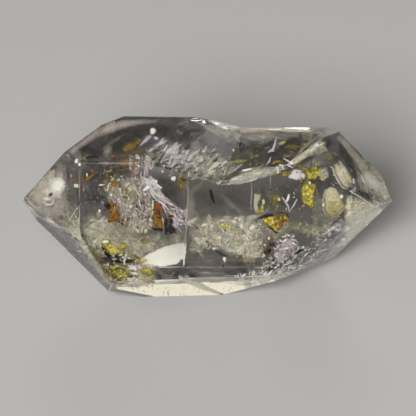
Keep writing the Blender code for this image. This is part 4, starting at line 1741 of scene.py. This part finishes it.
@dataclass(frozen=True)
class SpeckField:
    """Specks strewn over sheets inside the quartz.

    Args:
        name: the piece's name.
        finish: the specks' finish.
        sheets: the sheets that they lie on.
        density: specks per square millimetre where they lie thickest.
        smallest: half size of the smallest, in millimetres.
        largest: half size of the largest, in millimetres.
        tones: lowest and highest place on the finish's scale.
        flatness: thickness as a part of width.
        cluster: size of the clusters, in millimetres.
        seed: start of the random draws.
    """

    SHEET_STEP = 2.2

    name: str
    finish: SealedFinish
    sheets: Sequence[Sealed]
    density: float
    smallest: float
    largest: float
    tones: Span
    flatness: float = 0.35
    cluster: float = 0.5
    seed: int = 1

    def sheet_mesh(self, sight: Sight) -> Mesh:
        """Makes the sheets that the specks lie on."""
        corners, faces = [], []
        for sheet in self.sheets:
            flat, triangles, _ = sheet.filled(self.SHEET_STEP)
            middle = sheet.middle
            first = len(corners)
            for point in flat:
                place, bent = sight.entry(point, middle)
                corners.append(sight.inside(place + bent * sheet.depth_at(point)))
            faces.extend(tuple(first + i for i in triangle) for triangle in triangles)
        mesh = bpy.data.meshes.new(self.name + "_sheet")
        mesh.from_pydata(corners, [], faces)
        return mesh

    def build(self, sight: Sight) -> Object:
        """Builds the piece.

        Args:
            sight: finds the places inside the crystal.

        Returns:
            The finished piece.
        """
        carrier = add_object(self.name + "_sheet", self.sheet_mesh(sight))
        modifier = carrier.modifiers.new("specks", "NODES")
        modifier.node_group = SpeckTree.tree()
        material = bpy.data.materials.get(self.finish.name) or self.finish.build()
        values = {
            "Density": self.density / MM**2, "Smallest": self.smallest * MM, "Largest": self.largest * MM,
            "Flatness": self.flatness, "Tone Low": self.tones[0], "Tone High": self.tones[1],
            "Cluster Size": self.cluster * MM, "Seed": self.seed, "Material": material,
        }
        for socket in modifier.node_group.interface.items_tree:
            if socket.in_out == "INPUT" and socket.name in values:
                modifier[socket.identifier] = values[socket.name]
        shown = carrier.evaluated_get(bpy.context.evaluated_depsgraph_get())
        mesh = bpy.data.meshes.new_from_object(shown)
        mesh.name = self.name
        bpy.data.objects.remove(carrier)
        return add_piece(self.name, mesh)


CREAM_SHEET_LEFT = Sealed("cream_left", ((84, 216), (105, 217), (125, 228), (150, 231), (168, 234),
    (185, 226), (184, 244), (165, 247), (148, 255), (130, 258), (112, 240), (98, 240), (88, 232)), 4.4 * MM,
    seed=41, wave=0.5 * MM)
CREAM_SHEET_RIGHT = Sealed("cream_right", ((189, 218), (205, 217), (222, 214), (240, 216), (252, 217),
    (262, 228), (264, 246), (262, 258), (245, 256), (230, 256), (218, 249), (204, 248), (190, 254)), 4.4 * MM,
    seed=42, wave=0.5 * MM)
CREAM_SHEET_SIDE = Sealed("cream_side", ((262, 228), (285, 222), (300, 222), (322, 226), (338, 216),
    (325, 236), (308, 240), (290, 234), (272, 246)), 3.4 * MM, seed=43, wave=0.5 * MM)
VALLEY_SHEET = Sealed("valley", ((140, 160), (150, 146), (162, 142), (178, 148), (196, 150), (212, 154),
    (228, 158), (244, 166), (232, 176), (222, 182), (208, 182), (190, 178), (170, 168), (152, 162)), 0.7 * MM,
    seed=44)
ROOF_SHEET = Sealed("roof", ((200, 122), (225, 130), (245, 134), (270, 134), (284, 140), (270, 150),
    (250, 150), (228, 148), (205, 142), (190, 134)), 1.2 * MM, seed=45)
CLOUD_SHEET = Sealed("cloud", CLOUD_AREA, 1.1 * MM, seed=46)
BEVEL_SHEET = Sealed("bevel", ((256, 276), (280, 268), (300, 256), (318, 240), (336, 226), (346, 222),
    (344, 236), (334, 252), (312, 266), (288, 274), (268, 282), (254, 284)), 0.35 * MM, seed=47)
NET_SHEET = Sealed("net", NET_AREA, 1.7 * MM, seed=48)
FAN_SHEET = Sealed("fan", FAN_AREA, 1.3 * MM, seed=49)
TIP_SHEET = Sealed("tip", TIP_AREA, 1.2 * MM, seed=50)
RIGHT_TIP_SHEET = Sealed("right_tip", ((334, 164), (352, 170), (372, 182), (386, 196), (374, 214), (352, 216),
    (338, 224), (328, 200)), 0.9 * MM, seed=51)
SPECK_FIELDS = (
    SpeckField("healed_specks_left", HEALED_CRACK, (CREAM_SHEET_LEFT,), 30, 0.01, 0.035, (0, 0.45), seed=3),
    SpeckField("healed_specks_right", HEALED_CRACK, (CREAM_SHEET_RIGHT, CREAM_SHEET_SIDE), 30, 0.01, 0.035,
        (0, 0.4), seed=4),
    SpeckField("healed_specks_valley", HEALED_CRACK, (VALLEY_SHEET,), 90, 0.008, 0.03, (0, 0.62), seed=5),
    SpeckField("healed_specks_roof", HEALED_CRACK, (ROOF_SHEET,), 70, 0.008, 0.03, (0.1, 0.5), seed=6),
    SpeckField("healed_specks_cloud", HEALED_CRACK, (CLOUD_SHEET,), 160, 0.01, 0.04, (0, 0.75), seed=7),
    SpeckField("healed_specks_bevel", HEALED_CRACK, (BEVEL_SHEET,), 140, 0.01, 0.035, (0, 0.8), seed=8),
    SpeckField("healed_specks_net", HEALED_CRACK, (NET_SHEET,), 60, 0.01, 0.04, (0.05, 0.62), seed=9),
    SpeckField("healed_specks_fan", HEALED_CRACK, (FAN_SHEET,), 80, 0.01, 0.04, (0, 0.75), seed=10),
    SpeckField("healed_specks_tips", HEALED_CRACK, (TIP_SHEET, RIGHT_TIP_SHEET), 60, 0.008, 0.03, (0, 0.6),
        seed=11),
    SpeckField("petroleum_droplets", PETROLEUM, (NET_SHEET, CLOUD_SHEET), 26, 0.015, 0.07, (0, 0.9), seed=12),
    SpeckField("bitumen_dust", BITUMEN, (NET_SHEET, CREAM_SHEET_RIGHT, CREAM_SHEET_LEFT, BEVEL_SHEET), 16,
        0.01, 0.04, (0, 0.8), seed=13),
)

# Cream films of painted light, mottled with crack patches, over the lower front faces and the right low face.
MOTTLED_LIGHT_FILMS = SealedGroup("mottled_and_painted_light_films", MOTTLE_AND_LIGHT, (
    # Painted light: cream glow over the lower front faces, with mottled patches.
    film("cream_left", LEFT_CREAM_AREA, 4.4, 0.26, 0.66, 11, wave=0.5 * MM, seed=61, ragged=1.5,
        one_facet=False),
    film("cream_right", RIGHT_CREAM_AREA, 4.8, 0.18, 0.75, 9, wave=0.5 * MM, seed=62, ragged=1.5,
        one_facet=False),
    film("cream_side", SIDE_CREAM_AREA, 3.8, 0.5, 0.45, 6, wave=0.5 * MM, seed=63, ragged=1.5,
        one_facet=False),
    film("right_front", ((318, 168), (328, 166), (330, 178), (322, 182), (318, 178)), 0.8, 0.5, 0.4, 2.5,
        seed=65, one_facet=False),
    # Painted light: the cream glow of the right low face.
    film("right_low_face_painted_light", ((350, 207), (366, 203), (384, 207), (374, 221), (358, 237), (345, 249),
        (339, 245), (347, 230), (346, 216)), 0.3, 0.16, 0.72, 4, seed=66),
    film("foot_cream", ((83, 226), (98, 228), (116, 236), (124, 246), (116, 256), (100, 258), (88, 250),
        (82, 238)), 2.6, 0.3, 0.6, 6, seed=81),
    film("base_cream_film", ((100, 262), (124, 262), (150, 268), (156, 284), (134, 287), (112, 285)), 1.9,
        0.22, 0.55, 5, seed=82, one_facet=False),
    Wisps("left_patch", LEFT_CREAM_AREA, 50, 0, 60, (0.3, 1.3), (0.2, 0.6), (3.6, 5), (0, 0.6), (0.25, 0.75),
        3, 101),
    Wisps("right_patch", RIGHT_CREAM_AREA, 56, 0, 60, (0.3, 1.3), (0.2, 0.6), (3.4, 5), (0, 0.45),
        (0.4, 0.95), 3, 102),
    Wisps("side_patch", SIDE_CREAM_AREA, 34, -10, 40, (0.2, 0.7), (0.1, 0.3), (2.6, 4), (0.1, 0.6),
        (0.25, 0.7), 2, 103),
))

# Frosted films, and painted highlights along the right tip's ridges.
FROST_AND_HIGHLIGHT_FILMS = SealedGroup("frosted_films_and_painted_highlights", FROST_AND_HIGHLIGHT, (
    film("valley_frost", VALLEY_AREA, 0.6, 0.44, 0.48, 12, ragged=2, seed=71, one_facet=False),
    film("roof_frost", ROOF_AREA, 0.9, 0.42, 0.4, 8, ragged=1.5, seed=74, one_facet=False),
    film("ledge_frost", LEDGE_AREA, 0.3, 0.34, 0.55, 4, ragged=0.8, seed=75),
    film("bar_frost", BAR_AREA, 0.3, 0.22, 0.8, 3, ragged=0.8, seed=76),
    Wisps("valley_streak", VALLEY_AREA, 130, -36, 14, (0.3, 1.4), (0.05, 0.2), (0.25, 0.9), (0, 1),
        (0.3, 0.9), 1.3, 104),
    Wisps("ledge_streak", LEDGE_AREA, 44, -15, 8, (0.3, 1.3), (0.04, 0.11), (0.2, 0.5), (0, 0.3), (0.5, 1),
        0.7, 105),
    Wisps("bar_streak", BAR_AREA, 22, -36, 8, (0.3, 1), (0.04, 0.12), (0.2, 0.5), (0, 0.25), (0.6, 1), 0.7,
        106),
    Wisps("roof_streak", ROOF_AREA, 48, 6, 9, (0.3, 1.4), (0.04, 0.12), (0.5, 1.2), (0.1, 0.6), (0.25, 0.7),
        1, 107),
    Wisps("roof_faint", ((120, 126), (190, 122), (232, 140), (250, 150), (226, 150), (180, 142), (140, 140)),
        24, -38, 10, (0.3, 1.3), (0.04, 0.12), (0.8, 2.5), (0.2, 0.6), (0.12, 0.35), 1.2, 108),
    stroke("roof_ridge", ((198, 122), (206, 127), (214, 132), (222, 138)), 0.26, 0.8, 0.6, 0.45, 2),
    # Painted highlights along the right tip's ridges.
    stroke("tip_ridge_painted_highlight", ((350, 191), (360, 197), (370, 204), (382, 211)), 0.14, 0.2, 0.05, 0.9, 0.6),
    stroke("far_ridge_painted_highlight", ((372, 200), (378, 203), (386, 207)), 0.16, 0.2, 0.05, 0.9, 0.6),
    stroke("left_edge_pale", ((30, 211), (48, 222), (65, 230), (78, 241)), 0.1, 0.2, 0.3, 0.7),
    stroke("edge_band", ((66, 228), (79, 241), (88, 254), (97, 267), (108, 283)), 0.26, 0.15, 0.4, 0.7, 1.5),
    stroke("front_edge", ((84, 163.5), (104, 163.3), (126, 163.5), (150, 163.5)), 0.09, 0.2, 0.45, 0.5, 0.6),
))

# Pale haze at the tips and veils, and dark films of painted shade over roof, front, underside and left facets.
HAZE_AND_SHADE_FILMS = SealedGroup("haze_and_painted_shade_films", HAZE_AND_SHADE, (
    stroke("left_rim", ((70, 153), (84, 142), (97, 133), (110, 128), (124, 124), (140, 122), (158, 121)),
        0.58, 0.5, 0.52, 0.62, 5),
    # Painted shade that dims the bright line along the top back edge.
    stroke("back_edge_painted_shade", ((226, 127.5), (250, 128), (272, 128), (296, 130), (316, 131.5)), 0.3, 0.05, 0.36, 0.8,
        1.5),
    # Painted shade on the right roof facet.
    film("right_roof_painted_shade", ((338, 139), (350, 150), (360, 166), (366, 177), (354, 180), (346, 166),
        (337, 152)), 0.9, 1, 0.55, 3, seed=79),
    stroke("seam_foot", ((178, 278), (200, 286.5), (224, 296)), 0.3, 0.1, 0.02, 0.9, 1.2),
    film("tip_haze", ((28, 196), (42, 178), (60, 163), (68, 166), (69, 206), (60, 222), (44, 214), (30, 206)),
        1.2, 0.42, 0.6, 14, seed=67),
    # Painted shade on the lower left facet.
    film("low_left_facet_painted_shade", ((32, 209), (48, 221), (65, 229), (79, 242), (92, 260), (106, 281), (98, 280),
        (80, 264), (62, 246), (44, 225)), 0.25, 0.86, 0.85, 3, seed=16),
    # Painted shade over the left roof and the right roof.
    film("roof_left_painted_shade", ((82, 146), (100, 131), (124, 125), (160, 122), (203, 123), (200, 138), (176, 141),
        (150, 138), (130, 152), (100, 158), (82, 157)), 3.4, 1, 0.85, 7, seed=72),
    film("roof_right_painted_shade", ((214, 140), (236, 143), (262, 144), (280, 136), (314, 136), (312, 144),
        (296, 154), (276, 160), (262, 156), (236, 154)), 2.2, 1, 0.72, 5, seed=73),
    film("net_base", ((106, 184), (122, 176), (146, 176), (156, 196), (158, 226), (140, 236), (118, 232),
        (106, 206)), 2.5, 0.3, 0.55, 7, seed=78),
    # Painted shade along the left end's edge band.
    film("tip_edge_painted_shade", ((68, 164), (78, 168), (78, 220), (68, 214)), 0.8, 0.92, 0.45, 4, seed=68),
    # Painted shade over the upper front face.
    film("front_left_painted_shade", ((82, 167), (152, 166), (184, 182), (184, 212), (150, 212), (112, 208), (82, 208)),
        5.2, 0.95, 0.45, 8, seed=69),
    film("front_right_painted_shade", ((190, 186), (250, 186), (300, 178), (316, 190), (310, 212), (190, 212)), 5.2,
        0.95, 0.3, 8, seed=70),
    # Painted shade under the crystal's middle.
    film("under_painted_shade", ((190, 262), (204, 252), (216, 252), (232, 260), (262, 264), (262, 280), (150, 280),
        (152, 268)), 1.6, 0.93, 0.35, 5, seed=77, one_facet=False),
    stroke("right_rim", ((338, 136), (346, 144), (353, 153), (360, 162), (366, 168)), 0.5, 0.5, 0.3, 0.7, 3),
    Wisps("front_veil", ((84, 168), (150, 168), (186, 182), (250, 184), (300, 176), (316, 184), (316, 216),
        (84, 216)), 34, 20, 50, (0.8, 2.4), (0.3, 0.9), (1, 4), (0.1, 0.95), (0.05, 0.22), 6, 124),
    Wisps("roof_veil", ((112, 124), (200, 122), (300, 132), (310, 140), (240, 156), (150, 158), (100, 156)),
        26, -30, 25, (0.8, 2.4), (0.2, 0.7), (0.8, 3), (0.1, 0.95), (0.05, 0.25), 5, 125),
    Wisps("low_veil", ((100, 256), (150, 268), (262, 262), (262, 282), (112, 286)), 22, 4, 20, (0.6, 2.2),
        (0.2, 0.5), (0.5, 3), (0.1, 0.95), (0.08, 0.3), 4, 126),
    Wisps("rim_streak", RIM_AREA, 46, 84, 10, (0.15, 0.5), (0.05, 0.25), (0.1, 0.4), (0, 0.8), (0.15, 0.5),
        1.2, 127),
))

# Healed crack flakes, with painted sparkles and highlights among them on the bevel, the keel, the right tip and
# in the cream.
FLAKE_AND_SPARKLE_FIELDS = SealedGroup("healed_crack_flakes_and_painted_sparkles", HEALED_CRACK, (
    Wisps("valley_lilac", LILAC_AREA, 46, -30, 30, (0.3, 0.9), (0.18, 0.44), (0.15, 0.5), (0.52, 0.66),
        (0.6, 1), 2.6, 111),
    Wisps("fan_flake", FAN_AREA, 110, 44, 18, (0.15, 0.9), (0.05, 0.15), (1, 1.6), (0.54, 0.7), (0.5, 1), 0.6,
        112),
    Wisps("net_flake", NET_AREA, 130, 75, 40, (0.1, 0.55), (0.05, 0.15), (1.2, 2.2), (0.48, 0.82), (0.5, 1),
        0.5, 113),
    Wisps("wedge_streak", ((143, 177), (152, 176), (162, 190), (164, 199), (152, 196)), 50, 50, 10,
        (0.15, 0.9), (0.05, 0.14), (0.9, 1.1), (-0.2, 0), (0.7, 1), 0.8, 151),
    Wisps("fan_bright", ((170, 210), (182, 210), (182, 224), (174, 228)), 30, 55, 25, (0.12, 0.5),
        (0.06, 0.16), (0.9, 1.1), (0.52, 0.62), (0.8, 1), 0.5, 152),
    Wisps("net_upright", ((114, 196), (152, 196), (150, 230), (118, 230)), 26, 90, 6, (0.4, 1.4),
        (0.04, 0.08), (0.9, 1.1), (0.2, 0.62), (0.4, 0.9), 0.6, 164),
    Wisps("edge_bit", ((64, 226), (80, 240), (92, 258), (110, 284), (104, 284), (86, 262), (74, 244)), 50, 50,
        20, (0.1, 0.5), (0.05, 0.14), (0.06, 0.2), (-0.1, 0.66), (0.4, 1), 0.7, 165),
    Wisps("net_bright", ((104, 176), (150, 176), (152, 232), (118, 232)), 110, 70, 50, (0.1, 0.42),
        (0.06, 0.18), (1, 2), (0, 0.22), (0.6, 1), 0.6, 153),
    Wisps("valley_bright", ((150, 148), (164, 142), (214, 152), (236, 166), (222, 182), (186, 174)), 60, -34,
        22, (0.2, 0.8), (0.12, 0.34), (0.1, 0.35), (-0.2, 0.15), (0.5, 1), 2.2, 154),
    # Painted sparkles on the lower right bevel.
    Wisps("bevel_white_painted_sparkle", BEVEL_AREA, 90, -36, 24, (0.1, 0.45), (0.06, 0.15), (0.05, 0.12), (-0.2, 0),
        (0.9, 1), 0.3, 155),
    Wisps("cloud_bright", CLOUD_AREA, 80, -20, 60, (0.1, 0.38), (0.06, 0.18), (0.4, 0.9), (0, 0.06), (0.8, 1),
        0.5, 156),
    # Painted highlight on the right tip.
    Wisps("tip_painted_highlight", ((360, 172), (374, 176), (384, 188), (382, 196), (364, 184)), 30, 40, 16, (0.2, 0.9),
        (0.06, 0.2), (0.15, 0.4), (0, 0.15), (0.6, 1), 1, 157),
    # Painted sparkles on the right low face.
    Wisps("low_face_painted_sparkle", ((352, 206), (376, 210), (372, 224), (352, 236), (344, 244), (340, 228)), 36,
        -38, 30, (0.15, 0.7), (0.06, 0.2), (0.15, 0.5), (0, 0.4), (0.5, 1), 1, 158),
    Wisps("crescent", ((90, 219), (106, 219), (107, 232), (92, 232)), 16, 20, 70, (0.2, 0.9), (0.08, 0.2),
        (1.6, 2.4), (-0.1, 0.4), (0.4, 0.9), 1.6, 168),
    # Painted light: bright flecks in the cream areas.
    Wisps("right_cream_painted_light_fleck", RIGHT_CREAM_AREA, 50, 40, 70, (0.15, 0.6), (0.12, 0.34), (2, 3), (-0.2, 0.1),
        (0.5, 1), 1.4, 159),
    Wisps("left_cream_painted_light_fleck", LEFT_CREAM_AREA, 30, 20, 70, (0.15, 0.6), (0.12, 0.34), (2.6, 3.6), (0, 0.3),
        (0.3, 0.8), 1.8, 160),
    Wisps("veil_flake", ((130, 164), (152, 164), (152, 184), (134, 184)), 16, 82, 14, (0.3, 0.9), (0.08, 0.2),
        (1.2, 1.8), (0.5, 0.7), (0.25, 0.6), 1.5, 114),
    Wisps("cloud_flake", CLOUD_AREA, 80, -30, 60, (0.12, 0.45), (0.08, 0.22), (0.6, 1.2), (0.54, 0.7),
        (0.5, 1), 0.7, 115),
    # Painted sparkles in lilac on the lower right bevel.
    Wisps("bevel_lilac_painted_sparkle", BEVEL_AREA, 110, -36, 24, (0.12, 0.6), (0.05, 0.15), (0.12, 0.4), (0.52, 0.84),
        (0.5, 1), 0.5, 116),
    Wisps("front_lilac", ((82, 168), (106, 168), (106, 206), (84, 206)), 40, 80, 30, (0.08, 0.35),
        (0.05, 0.12), (0.8, 2), (0.2, 1.05), (0.3, 0.9), 0.8, 162),
    Wisps("veil_pink", ((128, 164), (152, 164), (150, 186), (132, 184)), 30, 80, 20, (0.15, 0.6), (0.08, 0.2),
        (1, 1.5), (0.5, 0.66), (0.4, 0.9), 1.2, 163),
    Wisps("right_dust", ((252, 186), (302, 186), (304, 232), (258, 226)), 34, 0, 90, (0.05, 0.2),
        (0.05, 0.12), (0.8, 2), (0, 0.9), (0.6, 1), 0.4, 118),
    Wisps("right_tip_streak", ((350, 165), (372, 172), (388, 192), (376, 205), (356, 190)), 36, 42, 14,
        (0.2, 0.9), (0.04, 0.14), (0.2, 0.7), (0, 0.5), (0.3, 0.9), 0.9, 119),
    Wisps("low_tip_fleck", ((350, 206), (376, 206), (374, 224), (352, 240), (338, 246), (340, 226)), 34, -38,
        30, (0.1, 0.6), (0.06, 0.2), (0.2, 0.6), (0, 0.5), (0.3, 0.9), 0.9, 120),
    # Painted sparkles along the keel.
    Wisps("keel_painted_sparkle", ((236, 276), (262, 270), (284, 272), (262, 285), (238, 287)), 70, -30, 40,
        (0.12, 0.5), (0.06, 0.15), (0.05, 0.2), (-0.2, 0.2), (0.5, 1), 0.5, 121),
    Wisps("foot_fleck", FOOT_AREA, 70, 30, 35, (0.12, 0.55), (0.05, 0.18), (0.4, 1.2), (0, 0.3), (0.4, 1),
        0.5, 122),
    Wisps("tip_fleck", TIP_AREA, 26, 0, 90, (0.06, 0.3), (0.05, 0.12), (0.4, 1.4), (0, 0.6), (0.3, 0.8), 0.8,
        123),
))


def main() -> None:
    """Builds the studio and the crystal with all that is sealed in it."""
    noise.seed_set(NOISE_SEED)
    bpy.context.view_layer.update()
    VIEW.make_camera()
    scene = bpy.context.scene
    scene.view_settings.view_transform = "Standard"
    scene.cycles.max_bounces = 24
    scene.cycles.transmission_bounces = 24
    scene.cycles.glossy_bounces = 12
    scene.cycles.transparent_max_bounces = 32
    studio = Studio()
    studio.build()
    Crystal().build(ClearQuartz().build())
    sight = Sight()
    groups = (
        PETROLEUM_POCKETS, BITUMEN_AND_SHADE_CRUMBS, CRACK_AND_HIGHLIGHT_FILMS, BUBBLE_WALLS, MOTTLED_LIGHT_FILMS, FROST_AND_HIGHLIGHT_FILMS,
        FLAKE_AND_SPARKLE_FIELDS, HAZE_AND_SHADE_FILMS, *SPECK_FIELDS,
    )
    studio.light_sealed([group.build(sight) for group in groups])


if __name__ == "__main__":
    main()
